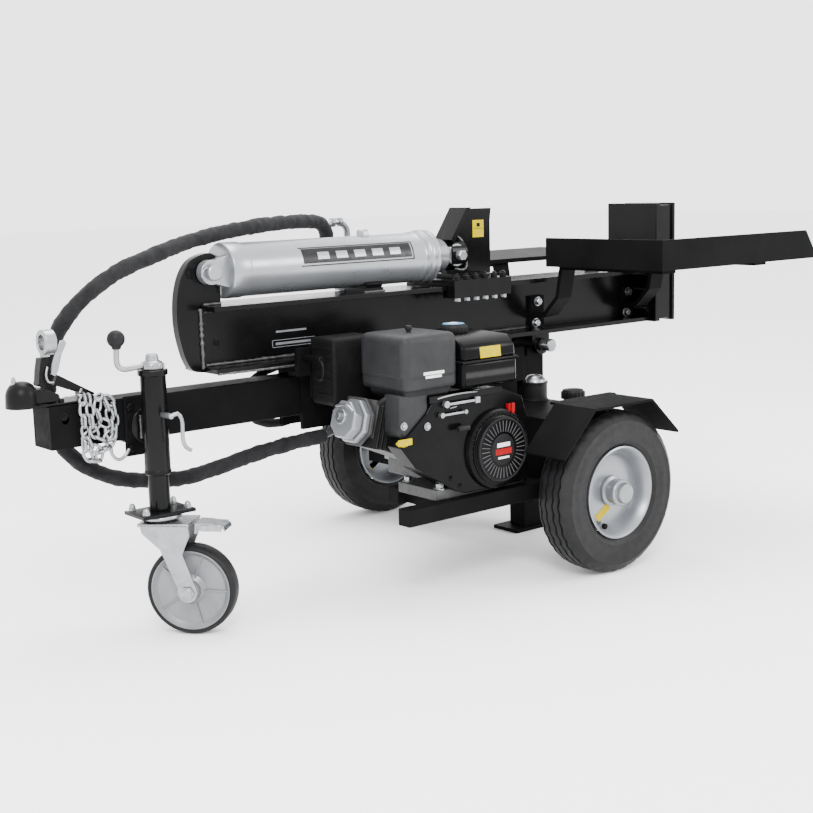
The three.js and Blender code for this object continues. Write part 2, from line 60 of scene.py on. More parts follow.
# Driving places and sizes, in mm from the datum.
HOSE_R = 18.0
RETURN_R = 11.0
NOSE_HALF = 12.8
CZ = 795  # height of the cylinder's axis
LUG_X = -842  # clevis pin
EYE_X = -82  # piston rod's eye
BARREL_R = 64.5  # face of the printed bands
PIVOT_X, PIVOT_Z = 215, 530
CAP_X, CAP_Y = 118, -262  # reservoir's breather
FILTER_X, FILTER_Y = 118, -120
AX, AZ, TRACK = 30, 207, 460  # road wheels' axle and half track
BALL_X = -1306  # coupler's socket
JX, JY = -1046, -104  # jack's axis
CASTER_R = 102
EX, EZ = -271, 346  # crankshaft
FUEL_X, FUEL_Y = -302, -262  # fuel cap
ROCKER_R = 56


def P(x, y, z):
    """A place in the frame, in metres, from mm."""
    return Vector(((x + DATUM) / 1000, y / 1000, z / 1000))


def place(o):
    bpy.context.scene.collection.objects.link(o)
    return o


# ---- materials
def fill_in(node, **values):
    """Set a node's inputs; an underscore in a name stands for a blank."""
    for key, value in values.items():
        node.inputs[key.replace("_", " ")].default_value = value


def material(name, base, rough, metal=0.0, grain=300.0, bump=0.05, spread=0.12, vary=0.08,
             cloud=18.0, sheen=0.0, kind="noise", spec=0.5):
    """Paint, metal or plastic: cloudy colour and roughness, and a fine grain in the bump."""
    m = bpy.data.materials.new(name)
    m.use_nodes = True
    n, link = m.node_tree.nodes, m.node_tree.links
    shader = n["Principled BSDF"]
    fill_in(shader, Metallic=metal, Specular_IOR_Level=spec, Sheen_Weight=sheen)
    where = n.new("ShaderNodeTexCoord")

    def pattern(scale, detail=None):
        node = n.new("ShaderNodeTexVoronoi" if detail is None else "ShaderNodeTexNoise")
        fill_in(node, Scale=scale)
        link.new(where.outputs["Object"], node.inputs["Vector"])
        if detail is None:
            return node.outputs["Distance"]
        fill_in(node, Detail=detail)
        return node.outputs["Fac"]

    ramp = n.new("ShaderNodeValToRGB")
    low, high = ramp.color_ramp.elements
    low.position, high.position = 0.32, 0.72
    low.color = [c * (1 - spread) for c in base] + [1]
    high.color = [min(1.0, c * (1 + spread) + spread * 0.012) for c in base] + [1]
    link.new(pattern(cloud, 5.0), ramp.inputs["Fac"])
    link.new(ramp.outputs["Color"], shader.inputs["Base Color"])
    span = n.new("ShaderNodeMapRange")
    fill_in(span, From_Min=0.3, From_Max=0.7, To_Min=max(0.03, rough - vary), To_Max=min(1.0, rough + vary))
    link.new(pattern(cloud * 3.3, 6.0), span.inputs["Value"])
    link.new(span.outputs["Result"], shader.inputs["Roughness"])
    b = n.new("ShaderNodeBump")
    fill_in(b, Strength=bump, Distance=0.0004)
    link.new(pattern(grain) if kind == "cells" else pattern(grain, 4.0), b.inputs["Height"])
    link.new(b.outputs["Normal"], shader.inputs["Normal"])
    return m


def sleeve_material():
    """Woven nylon hose sleeve: two crossed wave patterns give the weave."""
    m = material("sleeve_weave", (0.006, 0.006, 0.007), 0.85, grain=60, bump=0.2, spread=0.3, vary=0.1,
                 cloud=30, sheen=0.05, spec=0.15)
    n, link = m.node_tree.nodes, m.node_tree.links
    product = n.new("ShaderNodeMath")
    product.operation = "MULTIPLY"
    for i, direction in enumerate(("X", "DIAGONAL")):
        wave = n.new("ShaderNodeTexWave")
        wave.bands_direction = direction
        fill_in(wave, Scale=260.0, Distortion=1.2)
        link.new(n["Texture Coordinate"].outputs["Object"], wave.inputs["Vector"])
        link.new(wave.outputs["Fac"], product.inputs[i])
    weave = n.new("ShaderNodeBump")
    fill_in(weave, Strength=0.35, Distance=0.001)
    link.new(product.outputs["Value"], weave.inputs["Height"])
    link.new(n["Bump"].outputs["Normal"], weave.inputs["Normal"])
    link.new(weave.outputs["Normal"], n["Principled BSDF"].inputs["Normal"])
    return m


# Each finish: its slot, its name, its colour and roughness, and what else sets it.
FINISHES = {
    "gloss": ("gloss_black", "gloss_black_paint", (0.0018, 0.0018, 0.002), 0.2,
        dict(grain=260, vary=0.03, cloud=9, spec=0.1)),
    "satin": ("gloss_black", "satin_black_paint", (0.0024, 0.0024, 0.0027), 0.36,
        dict(grain=320, bump=0.08, vary=0.04, spec=0.09)),
    "weld": ("gloss_black", "weld_bead", (0.05, 0.05, 0.052), 0.34,
        dict(metal=0.55, grain=500, bump=0.6, spread=0.5, cloud=90)),
    "silver": ("cylinder_silver", "silver_paint", (0.25, 0.26, 0.275), 0.3,
        dict(metal=0.7, grain=700, bump=0.04, spread=0.05, cloud=6, vary=0.04)),
    "zinc": ("zinc", "zinc_plate", (0.25, 0.26, 0.27), 0.3,
        dict(metal=0.9, grain=420, bump=0.06, spread=0.14, cloud=40, vary=0.06)),
    "rim": ("rim_silver", "rim_silver", (0.21, 0.22, 0.235), 0.34,
        dict(metal=0.7, grain=700, bump=0.01, spread=0.04, cloud=6, vary=0.03)),
    "chrome": ("chrome", "chrome_rod", (0.72, 0.73, 0.74), 0.12,
        dict(metal=1.0, grain=900, bump=0.01, spread=0.03, vary=0.03)),
    "tyre": ("tyre", "tyre_rubber", (0.0045, 0.0045, 0.005), 0.55,
        dict(grain=520, bump=0.3, spread=0.15, cloud=22, spec=0.18)),
    "tread": ("caster_tread", "caster_tread", (0.006, 0.006, 0.0065), 0.6,
        dict(grain=420, bump=0.1, spread=0.15, spec=0.15)),
    "cast": ("aluminium", "cast_aluminium", (0.035, 0.035, 0.036), 0.5,
        dict(metal=0.4, grain=520, bump=0.4, spread=0.25, cloud=34)),
    "castgrey": ("grey_iron", "cast_grey", (0.15, 0.157, 0.165), 0.44,
        dict(metal=0.35, grain=480, bump=0.2, spread=0.15)),
    "plastic": ("black_plastic", "grained_plastic", (0.005, 0.005, 0.0056), 0.5,
        dict(grain=900, bump=0.3, spread=0.2, kind="cells", spec=0.13)),
    "cleaner": ("black_plastic", "air_cleaner_plastic", (0.0095, 0.0102, 0.0113), 0.5,
        dict(grain=1000, bump=0.4, spread=0.18, kind="cells", spec=0.2)),
    "shroud": ("black_plastic", "shroud_gloss", (0.0016, 0.0016, 0.0018), 0.2,
        dict(bump=0.03, spread=0.1, vary=0.03, spec=0.06)),
    "muffler": ("muffler_black", "muffler_black", (0.003, 0.0028, 0.0028), 0.66,
        dict(metal=0.1, bump=0.2, spread=0.15, spec=0.1)),
    "yellow": ("black_plastic", "yellow_label", (0.36, 0.28, 0.0), 0.5,
        dict(grain=600, bump=0.03, spread=0.1, cloud=60, spec=0.04)),
    "white": ("black_plastic", "white_label", (0.62, 0.62, 0.62), 0.42,
        dict(grain=600, bump=0.03, spread=0.06, cloud=60)),
    "red": ("red_plastic", "red_plastic", (0.2, 0.002, 0.004), 0.4,
        dict(grain=600, bump=0.04, cloud=50, spec=0.1)),
    "blue": ("black_plastic", "blue_label", (0.07, 0.22, 0.38), 0.4,
        dict(grain=600, bump=0.03, spread=0.1, cloud=60)),
    "tick": ("black_plastic", "vent_grey", (0.05, 0.05, 0.052), 0.5,
        dict(metal=0.2, grain=500, spread=0.2, spec=0.2)),
    "matt": ("gloss_black", "matt_black_paint", (0.0034, 0.0034, 0.0037), 0.5,
        dict(grain=320, bump=0.08, spread=0.1, vary=0.03, cloud=9, spec=0.02)),
    # dark: painted shade in holes, slots and open ends, and the real black of valve stems and label print.
    "dark": ("black_plastic", "dark_recess", (0.002, 0.002, 0.002), 0.8,
        dict(grain=400, bump=0.1, spread=0.3, spec=0.1)),
    "band": ("black_plastic", "band_black", (0.005, 0.005, 0.006), 0.3,
        dict(grain=500, bump=0.03, spread=0.3, spec=0.2)),
}
M = {key: material(*row[1:4], **row[4]) for key, row in FINISHES.items()}
M["sleeve"] = sleeve_material()
SLOT = {key: row[0] for key, row in FINISHES.items()}
SLOT["sleeve"] = "hose_sleeve"


# ---- curves
def between(p, q, start, end, t):
    return p * ((end - t) / (end - start)) + q * ((t - start) / (end - start))


def smooth_path(points, step, closed=False):
    """A centripetal curve through the given mm points, cut about every step mm."""
    pts = [Vector(p) for p in points]
    n = len(pts)
    out = []
    spans = n if closed else n - 1
    for i in range(spans):
        p1, p2 = pts[i % n], pts[(i + 1) % n]
        p0 = pts[(i - 1) % n] if closed or i > 0 else p1 * 2 - p2
        p3 = pts[(i + 2) % n] if closed or i < n - 2 else p2 * 2 - p1
        t0 = 0.0
        t1 = max((p1 - p0).length, 1e-6) ** 0.5
        t2 = t1 + max((p2 - p1).length, 1e-6) ** 0.5
        t3 = t2 + max((p3 - p2).length, 1e-6) ** 0.5
        count = max(1, int(round((p2 - p1).length / step)))
        for k in range(count):
            t = t1 + (t2 - t1) * k / count
            a1 = between(p0, p1, t0, t1, t)
            a2 = between(p1, p2, t1, t2, t)
            a3 = between(p2, p3, t2, t3, t)
            b1 = between(a1, a2, t0, t2, t)
            b2 = between(a2, a3, t1, t3, t)
            out.append(between(b1, b2, t1, t2, t))
    if not closed:
        out.append(pts[-1].copy())
    return out


def soften(o, bevel, segs):
    """Round an object's sharp edges by so many mm."""
    b = o.modifiers.new("edges", "BEVEL")
    b.width = bevel / 1000
    b.segments = segs
    b.limit_method = "ANGLE"
    b.angle_limit = math.radians(40)


class Shape:
    """Mesh under construction, in mm: t runs along the axis x, y or z, and (u, v) across it."""

    def __init__(self):
        self.bm = bmesh.new()

    def _at(self, axis, u, v, t):
        return {"x": (t, u, v), "y": (u, t, v), "z": (u, v, t)}[axis]

    def box(self, x0, x1, y0, y1, z0, z1, turn=None):
        size = Matrix.Diagonal((x1 - x0, y1 - y0, z1 - z0, 1))
        m = Matrix.Translation(((x0 + x1) / 2, (y0 + y1) / 2, (z0 + z1) / 2)) @ size
        bmesh.ops.create_cube(self.bm, size=1, matrix=turn @ m if turn else m)
        return self

    def prism(self, axis, pts, a, b, turn=None):
        """An outline carried along the axis from a to b."""
        rows = [[self.bm.verts.new(self._at(axis, p[0], p[1], t)) for p in pts] for t in (a, b)]
        n = len(pts)
        for i in range(n):
            self.bm.faces.new((rows[0][i], rows[0][(i + 1) % n], rows[1][(i + 1) % n], rows[1][i]))
        self.bm.faces.new(rows[0][::-1])
        self.bm.faces.new(rows[1])
        if turn:
            bmesh.ops.transform(self.bm, matrix=turn, verts=rows[0] + rows[1])
        return self

    def lathe(self, axis, u, v, profile, seg=48, turn=None):
        """A profile of (radius, place along the axis) turned about the axis through (u, v)."""
        rings = []
        made = []
        for r, t in profile:
            if r < 1e-6:
                ring = [self.bm.verts.new(self._at(axis, u, v, t))]
            else:
                ring = []
                for i in range(seg):
                    a = 2 * math.pi * i / seg
                    across = u + r * math.cos(a), v + r * math.sin(a)
                    ring.append(self.bm.verts.new(self._at(axis, *across, t)))
            rings.append(ring)
            made += ring
        closed = profile[0][0] > 1e-6
        for one, two in zip(rings, rings[1:] + (rings[:1] if closed else [])):
            for i in range(seg):
                j = (i + 1) % seg
                if len(one) == 1 and len(two) == 1:
                    continue
                if len(one) == 1:
                    self.bm.faces.new((one[0], two[i], two[j]))
                elif len(two) == 1:
                    self.bm.faces.new((one[i], two[0], one[j]))
                else:
                    self.bm.faces.new((one[i], two[i], two[j], one[j]))
        if turn:
            bmesh.ops.transform(self.bm, matrix=turn, verts=made)
        return self

    def rod(self, axis, a, b, u, v, r, seg=32, c=1.0, turn=None):
        """A round bar from a to b with broken edges."""
        c = min(c, r * 0.4, abs(b - a) * 0.4)
        return self.lathe(axis, u, v, [
            (0, a), (r - c, a), (r, a + c), (r, b - c), (r - c, b), (0, b)], seg, turn)

    def ring(self, axis, a, b, u, v, r_in, r_out, seg=40):
        c = min(1.0, (r_out - r_in) * 0.3)
        return self.lathe(axis, u, v, [
            (r_in, a), (r_out - c, a), (r_out, a + c), (r_out, b - c), (r_out - c, b), (r_in, b)], seg)

    def hex(self, axis, a, b, u, v, r, turn=None):
        """A nut or bolt head standing on a, with its corners broken at b."""
        c = r * 0.14
        edge = b - c if b > a else b + c
        return self.lathe(axis, u, v, [(0, a), (r, a), (r, edge), (r * 0.84, b), (0, b)], 6, turn)

    def ball(self, x, y, z, r, seg=28):
        prof = [(r * math.sin(math.pi * i / 14), z - r * math.cos(math.pi * i / 14)) for i in range(15)]
        prof[0] = (0, z - r)
        prof[-1] = (0, z + r)
        return self.lathe("z", x, y, prof, seg)

    def ribs(self, count, a, b, u, v, ring, r, seg):
        """Upright round ribs, evenly spaced about (u, v)."""
        for i in range(count):
            turn = math.radians(i * 360 / count)
            self.rod("z", a, b, u + ring * math.cos(turn), v + ring * math.sin(turn), r, seg)
        return self

    def tube(self, points, r, sides=12, step=8.0, closed=False, wobble=None):
        """A round section along a curve, with wobble added to its radius."""
        path = smooth_path(points, step, closed)
        n = len(path)
        up = Vector((0.13, 0.21, 1)).normalized()
        rings = []
        for i, p in enumerate(path):
            a = path[(i - 1) % n] if closed or i > 0 else path[0]
            b = path[(i + 1) % n] if closed or i < n - 1 else path[-1]
            d = (b - a).normalized()
            side = d.cross(up)
            if side.length < 1e-3:
                side = d.cross(Vector((1, 0, 0)))
            side.normalize()
            up = side.cross(d).normalized()
            ring = []
            for k in range(sides):
                ang = 2 * math.pi * k / sides
                rr = r + (wobble(i, n, ang, p) if wobble else 0)
                ring.append(self.bm.verts.new(p + side * (rr * math.cos(ang)) + up * (rr * math.sin(ang))))
            rings.append(ring)
        for one, two in zip(rings, rings[1:] + (rings[:1] if closed else [])):
            for k in range(sides):
                j = (k + 1) % sides
                self.bm.faces.new((one[k], one[j], two[j], two[k]))
        if not closed:
            self.bm.faces.new(rings[0][::-1])
            self.bm.faces.new(rings[-1])
        return self

    def make(self, name, body, mat, bevel=0.0, segs=2, sharp=38, replaces=()):
        """Turn the shape into an object that rides on a body."""
        bm = self.bm
        bmesh.ops.recalc_face_normals(bm, faces=bm.faces[:])
        for v in bm.verts:
            v.co = P(*v.co)
        me = bpy.data.meshes.new(name)
        bm.to_mesh(me)
        bm.free()
        me.polygons.foreach_set("use_smooth", [True] * len(me.polygons))
        me.set_sharp_from_angle(angle=math.radians(sharp))
        o = place(bpy.data.objects.new(name, me))
        me.materials.append(M[mat])
        if bevel:
            soften(o, bevel, segs)
        if body:
            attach(o, body)
        if replaces:
            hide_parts(*replaces)
        return o


def keep(node, mat, bevel=1.5, segs=2):
    """A CAD node that stays in view, with a real finish and softened edges."""
    o = NODES[node]
    o.data.materials.clear()
    o.data.materials.append(M[mat])
    w = o.modifiers.new("join", "WELD")
    w.merge_threshold = 0.00002
    soften(o, bevel, segs)


def mirrored(half):
    """A lathe profile that is the same on both sides of its middle."""
    return [(r, -t) for r, t in half] + half[::-1]


def arc_pts(cx, cz, r, a0, a1, n):
    """n + 1 points on an arc between two angles in degrees."""
    return [
        (cx + r * math.cos(math.radians(a0 + (a1 - a0) * i / n)),
        cz + r * math.sin(math.radians(a0 + (a1 - a0) * i / n))) for i in range(n + 1)]


# ---- camera
CAMERA_AT = (-2498.1, -2750.0, 986.0)
CAMERA_TURN = (50.63, -9.30, -1.48)  # yaw, pitch and roll in degrees
LENS, SENSOR = 60.29, 36
cam_data = bpy.data.cameras.new("camera")
cam = place(bpy.data.objects.new("camera", cam_data))
cam_data.sensor_width = SENSOR
cam_data.lens = LENS
cam_data.clip_end = 60
yaw, pitch, roll = (math.radians(angle) for angle in CAMERA_TURN)
look = Vector((math.cos(yaw) * math.cos(pitch), math.sin(yaw) * math.cos(pitch), math.sin(pitch)))
right = Vector((math.sin(yaw), -math.cos(yaw), 0))
upv = right.cross(look)
right, upv = right * math.cos(roll) + upv * math.sin(roll), upv * math.cos(roll) - right * math.sin(roll)
cam.matrix_world = Matrix((
    (right.x, upv.x, -look.x, 0), (right.y, upv.y, -look.y, 0), (right.z, upv.z, -look.z, 0), (0, 0, 0, 1)))
cam.location = P(*CAMERA_AT)
bpy.context.scene.camera = cam

# ---- hoses in their woven sleeves
UPPER = [
    (-400, 116, 836), (-402, 114, 866), (-424, 106, 890), (-480, 88, 898), (-560, 70, 898), (-660, 50, 893),
    (-780, 34, 880), (-880, 22, 862), (-984, 12, 833), (-1050, 12, 810), (-1104, 16, 780), (-1160, 34, 730),
    (-1190, 60, 673), (-1202, 78, 615), (-1204, 90, 543)]
LOWER = [
    (-1204, 90.4, 537.5), (-1196, 94, 470), (-1172, 86, 408), (-1138, 64, 370), (-1076, 36, 337),
    (-942, 6, 318), (-833, -4, 329), (-744, -14, 347), (-643, -38, 366), (-556, -66, 378)]
RETURN = [
    (-524, 64, 547), (-580, 63, 547), (-640, 62, 536), (-676, 62, 518), (-696, 62, 488), (-698, 62, 456),
    (-684, 62, 426), (-650, 62, 407), (-600, 62, 401), (-548, 62, 409), (-500, 62, 420), (-440, 60, 412),
    (-400, 52, 378), (-378, 44, 354), (-360, 41, 347)]


def wrinkles(seed, much=1.0):
    """Loose folds of the sleeve, pinched in at both ends."""
    def wobble(i, n, ang, p):
        along = noise.noise(Vector((i * 0.16, seed, 0))) * 1.5
        fold = noise.noise(Vector((i * 0.5, math.cos(ang) * 1.2 + seed, math.sin(ang) * 1.2))) * 2.4
        edge = min(i, n - 1 - i)
        return much * ((along + fold) * min(1.0, edge / 5) - (3.0 if edge < 1 else 0))
    return wobble


def hose(name, pts, node, seed, bodies, r=HOSE_R):
    """A sleeved hose that stands for a cord node; on two bodies it rides on neither, with its placement
    baked in.
    """
    path = [P(*p) for p in smooth_path(pts, 6.0)]
    s = Shape().tube(pts, r, sides=22, step=6.0, wobble=wrinkles(seed, r / HOSE_R))
    o = s.make(name, bodies[0] if len(bodies) == 1 else None, "sleeve", sharp=80, replaces=(node,))
    if len(bodies) == 2:
        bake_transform(o)


hose("sleeve_upper", UPPER, "hose_upper", 1.3, ("beam_group", "frame"))
hose("sleeve_lower", LOWER, "hose_lower", 5.1, ("frame",))
hose("return_line", RETURN, "hose_return", 9.4, ("frame",), r=RETURN_R)
Shape().tube([(-370, 43, 350), (-362, 41.5, 347.6), (-352, 40.4, 346.4)], 12.5, sides=6, step=4).make(
    "return_fitting", "frame", "zinc")
(Shape()
    .tube([(-536, 63.6, 547), (-516, 64, 547), (-508, 60, 545), (-506, 51, 542)], 8.5, sides=14, step=4)
    .make("return_elbow", "frame", "zinc"))

# ---- beam
keep("beam", "gloss", 1.6)
NOSE = [
    (-861.4, 562), (-888, 568), (-904, 592), (-916, 630), (-923, 670), (-924, 710), (-919, 752),
    (-906, 792), (-886, 820), (-860, 834), (-826, 838), (-812, 826), (-806, 800)]
curve = [(p.x, p.y) for p in smooth_path([(x, z, 0) for x, z in NOSE], 5)]
Shape().prism("y", curve + [(-806, 718.6), (-861.4, 718.6)], -NOSE_HALF, NOSE_HALF).make(
    "beam_nose_smooth", "beam_group", "gloss", bevel=1.6, segs=3, sharp=50, replaces=("beam_nose",))
keep("foot_plate", "gloss", 2.5)
keep("table_near", "matt", 1.2)
keep("table_far", "matt", 1.2)
keep("wedge", "gloss", 2.0)
keep("wedge_slide", "satin", 1.2)
keep("control_valve", "castgrey", 3.0)
keep("valve_lever", "plastic", 1.0)
for name in ("tongue_tube", "tongue_front", "pivot_post", "beam_rest", "engine_rails", "jack_mount"):
    keep(name, "matt", 3.0)
keep("reservoir", "matt", 5.0, 3)
keep("fender_near", "matt", 1.0)
keep("fender_far", "matt", 1.0)


def beads(name, pts, r, body, step=4.0):
    """A weld bead along a line."""
    def wobble(i, n, ang, p):
        return noise.noise(p * 0.21) * r * 0.7
    return Shape().tube(pts, r, sides=8, step=step, wobble=wobble).make(name, body, "weld", sharp=80)


for y, tag in ((-7, "near"), (7, "far")):
    beads("weld_low_" + tag, [(-852, y, 577), (-200, y, 577), (190, y, 577)], 4.2, "beam_group", 6)
    beads("weld_high_" + tag, [(-852, y, 703), (-200, y, 703), (640, y, 703)], 3.6, "beam_group", 8)
beads("weld_end_near", [(-863, -14, 570), (-864, -15, 640), (-864, -15, 712)], 4.5, "beam_group")
beads("weld_end_far", [(-863, 14, 570), (-864, 15, 640), (-864, 15, 712)], 4.5, "beam_group")
beads("weld_nose_top", [(-856, -15, 720), (-830, -15, 720.5), (-808, -15, 720)], 3.5, "beam_group")
beads("weld_lip", [(-858, -70, 563), (-780, -72, 562), (-640, -72, 562)], 3.0, "beam_group")
marks = Shape()
for z in (600, 655, 700):
    marks.tube([(649.5, -60, z), (648, -30, z + 1), (649, 10, z), (649.5, 60, z)], 3.2, sides=8, step=5)
marks.make("foot_welds", "beam_group", "weld", sharp=80)

# ---- cylinder
cylinder = Shape()
cylinder.lathe("x", 0, CZ, [
    (0, -798), (60, -798), (65, -796), (66, -792), (66, -752), (64.6, -748), (64, -746), (64, -226),
    (65.5, -223), (67, -219), (67, -212), (65.5, -208), (65, -201), (69, -198), (70, -196), (70, -182),
    (68.6, -180), (68.6, -177), (70, -175), (70, -168), (68, -165.3), (50, -165), (46, -163), (44, -160),
    (44, -120), (42, -116), (41, -114), (30, -112), (28.4, -112), (28.4, -420), (0, -420)], 72)
lug = [(-790, CZ - 40), (-790, CZ + 40), (-808, CZ + 35)]
lug += arc_pts(LUG_X, CZ, 29, 72, 288, 22) + [(-808, CZ - 35)]
cylinder.prism("y", lug, 16, 40)
cylinder.prism("y", lug, -40, -16)
cylinder.lathe("z", -371, 0, [(0, 850), (17, 850), (17, 868), (15, 872), (12, 874), (0, 874)], 6)
cylinder.make("cylinder_shell", "beam_group", "silver", bevel=1.2, replaces=("cylinder_barrel",))
(Shape()
    .tube([(-218, 0, 861), (-218, -61, CZ), (-218, 0, 729), (-218, 61, CZ)], 1.2, sides=6, closed=True)
    .make("gland_seam", "beam_group", "silver", sharp=80))
(Shape()
    .rod("y", -54, 54, LUG_X, CZ, 11.8, 28)
    .lathe("y", LUG_X, CZ, [
        (0, -56), (16, -56), (18.5, -54), (19, -51), (19, -44), (17, -40.6), (0, -40.6)], 36)
    .ring("y", 41, 44, LUG_X, CZ, 12, 19, 32)
    .tube([(LUG_X, 49, CZ - 20), (LUG_X, 49, CZ + 20), (-838, 51, CZ + 28)], 2, sides=8)
    .tube([
        (-858, -46, CZ + 12), (-872, -48, CZ + 6), (-874, -48, CZ - 8), (-862, -47, CZ - 16)], 2, sides=8)
    .make("clevis_pin", "beam_group", "silver", replaces=("cylinder_pin",)))
Shape().rod("x", -400, -103, 0, CZ, 28, 48, 1.5).make("ram_rod", "ram", "chrome", replaces=("piston_rod",))
(Shape()
    .ring("y", -34, -13, EYE_X, CZ, 10, 30, 36)
    .ring("y", 13, 34, EYE_X, CZ, 10, 30, 36)
    .rod("y", -58, -34.5, EYE_X, CZ, 12, 28)
    .hex("y", -50, -60, EYE_X, CZ, 15)
    .make("rod_eye", "ram", "silver", bevel=0.8))


def band(name, mat, x0, x1, a0, a1, r):
    """A thin raised patch on the barrel between two angles; 0 faces the engine side, 90 is up."""
    s = Shape()
    n = 14
    m = max(2, int((x1 - x0) / 14))
    grid = []
    for i in range(m + 1):
        x = x0 + (x1 - x0) * i / m
        row = []
        for k in range(n + 1):
            a = math.radians(a0 + (a1 - a0) * k / n)
            row.append([
                s.bm.verts.new((x, -rr * math.cos(a), CZ + rr * math.sin(a))) for rr in (r, r - 1.2)])
        grid.append(row)
    for i in range(m):
        for k in range(n):
            for layer in (0, 1):
                s.bm.faces.new((grid[i][k][layer], grid[i + 1][k][layer], grid[i + 1][k + 1][layer],
                                grid[i][k + 1][layer]))
    for i in range(m):
        for k in (0, n):
            s.bm.faces.new((grid[i][k][0], grid[i + 1][k][0], grid[i + 1][k][1], grid[i][k][1]))
    for k in range(n):
        for i in (0, m):
            s.bm.faces.new((grid[i][k][0], grid[i][k + 1][0], grid[i][k + 1][1], grid[i][k][1]))
    return s.make(name, "beam_group", mat, sharp=50)


band("barrel_band", "band", -600, -262, 6, 40, BARREL_R)
band("barrel_band_edge_low", "band", -606, -256, 0, 2.5, BARREL_R)
band("barrel_band_edge_high", "band", -606, -256, 41.5, 44, BARREL_R)
band("barrel_band_end", "band", -258, -254, 0, 44, BARREL_R)
for i in range(5):
    x = -556 + i * 56
    band("barrel_bar_%d" % i, "silver", x, x + 34, 14, 30, BARREL_R + 0.5)
beads("saddle_weld", [(-402, -42, 719), (-338, -42, 719)], 3, "beam_group")
(Shape()
    .prism("x", [
        (-38, 727.8), (38, 727.8), (44, 738), (38, 745), (24, 734.5), (0, 731), (-24, 734.5), (-38, 745),
        (-44, 738)], -396, -344)
    .make("barrel_saddle", "beam_group", "satin", bevel=1.0))

# ---- wedge and slide details
slide_bolts = Shape()
upper_nuts = Shape()
for i in range(6):
    x = -132 + i * 33
    for y in (-87, 87):
        upper_nuts.hex("z", 733.2, 745.5, x, y, 9.5)
        slide_bolts.hex("z", 686.8, 677, x, y, 9.5)
        upper_nuts.rod("z", 744, 750, x, y, 5, 16)
slide_bolts.make("slide_bolts", "ram", "zinc", bevel=0.5)
upper_nuts.make("slide_nuts", "ram", "satin", bevel=0.5)
Shape().box(-6, 34, -13.4, -11.6, 838, 884).make("wedge_label", "ram", "yellow", bevel=0.4)
Shape().box(-2, 30, -13.9, -12.9, 861, 862.5).box(8, 20, -13.9, -12.9, 866, 876).make(
    "wedge_label_mark", "ram", "dark", bevel=0.2)
beads("wedge_weld_near", [(-98, -13, 737), (-20, -14, 737), (54, -13, 737)], 4, "ram")
beads("wedge_weld_boss", [
    (-98, -42, 760), (-72, -44, 756), (-52, -36, 764), (-50, -20, 828), (-66, -16, 846)], 3.5, "ram")

# ---- table bracket bolts
bracket_bolts = Shape()
for x in (208, 590):
    for dx, z in ((26, 648), (18, 588)):
        for s in (-1, 1):
            a, b = s * 15.2, s * 27
            bracket_bolts.rod("y", min(a, a + s * 3), max(a, a + s * 3), x + dx, z, 14, 28, 0.6)
            bracket_bolts.hex("y", a + s * 3, b, x + dx, z, 11)
bracket_bolts.make("bracket_bolts", "beam_group", "zinc", bevel=0.5)

# ---- post, pin, caps
(Shape()
    .rod("y", -84, 64, PIVOT_X, PIVOT_Z, 10.8, 28)
    .lathe("y", PIVOT_X, PIVOT_Z, [
        (0, -92), (15, -92), (17.5, -90), (18, -87), (18, -58), (16, -54), (0, -54)], 36)
    .ring("y", 55, 60, PIVOT_X, PIVOT_Z, 11, 18, 30)
    .make("pivot_pin_bright", "frame", "zinc", replaces=("pivot_pin",)))
(Shape()
    .rod("y", -164, -77, -631, 582, 7, 24)
    .tube([(-631, -156, 582), (-631, -168, 568), (-631, -166, 538), (-631, -154, 532)], 3.6, sides=10)
    .make("latch_pin_dark", "latch_pin", "satin", replaces=("beam_latch_pin",)))
(Shape()
    .lathe("z", CAP_X, CAP_Y, [
        (0, 391), (22, 391), (23, 393), (23, 408), (28, 409), (30, 412), (30, 428), (27, 434), (14, 436),
        (0, 436)], 48)
    .ribs(18, 410, 429, CAP_X, CAP_Y, 30, 2.4, 10)
    .make("reservoir_breather", "reservoir_cap", "plastic", replaces=("filler_cap",)))
(Shape()
    .lathe("z", FILTER_X, FILTER_Y, [
        (0, 391), (36, 391), (36, 394), (33, 396), (33, 436), (35, 438), (35, 442), (0, 442)], 48)
    .make("filter_body", "frame", "plastic", replaces=("return_filter",)))
(Shape()
    .lathe("z", FILTER_X, FILTER_Y, [(0, 441), (30, 441), (29, 447), (22, 456), (12, 461), (0, 462)], 40)
    .make("filter_dome", "frame", "zinc"))
(Shape()
    .tube([
        (88, -120, 438), (80, -122, 452), (86, -124, 461), (112, -124, 461), (124, -122, 452)],
        2.0, sides=8)
    .make("filter_bail", "frame", "zinc"))

# ---- road wheels
def zig(i):
    """The tread grooves' side step, over four segments."""
    return (0, 1, 0, -1)[i % 4]


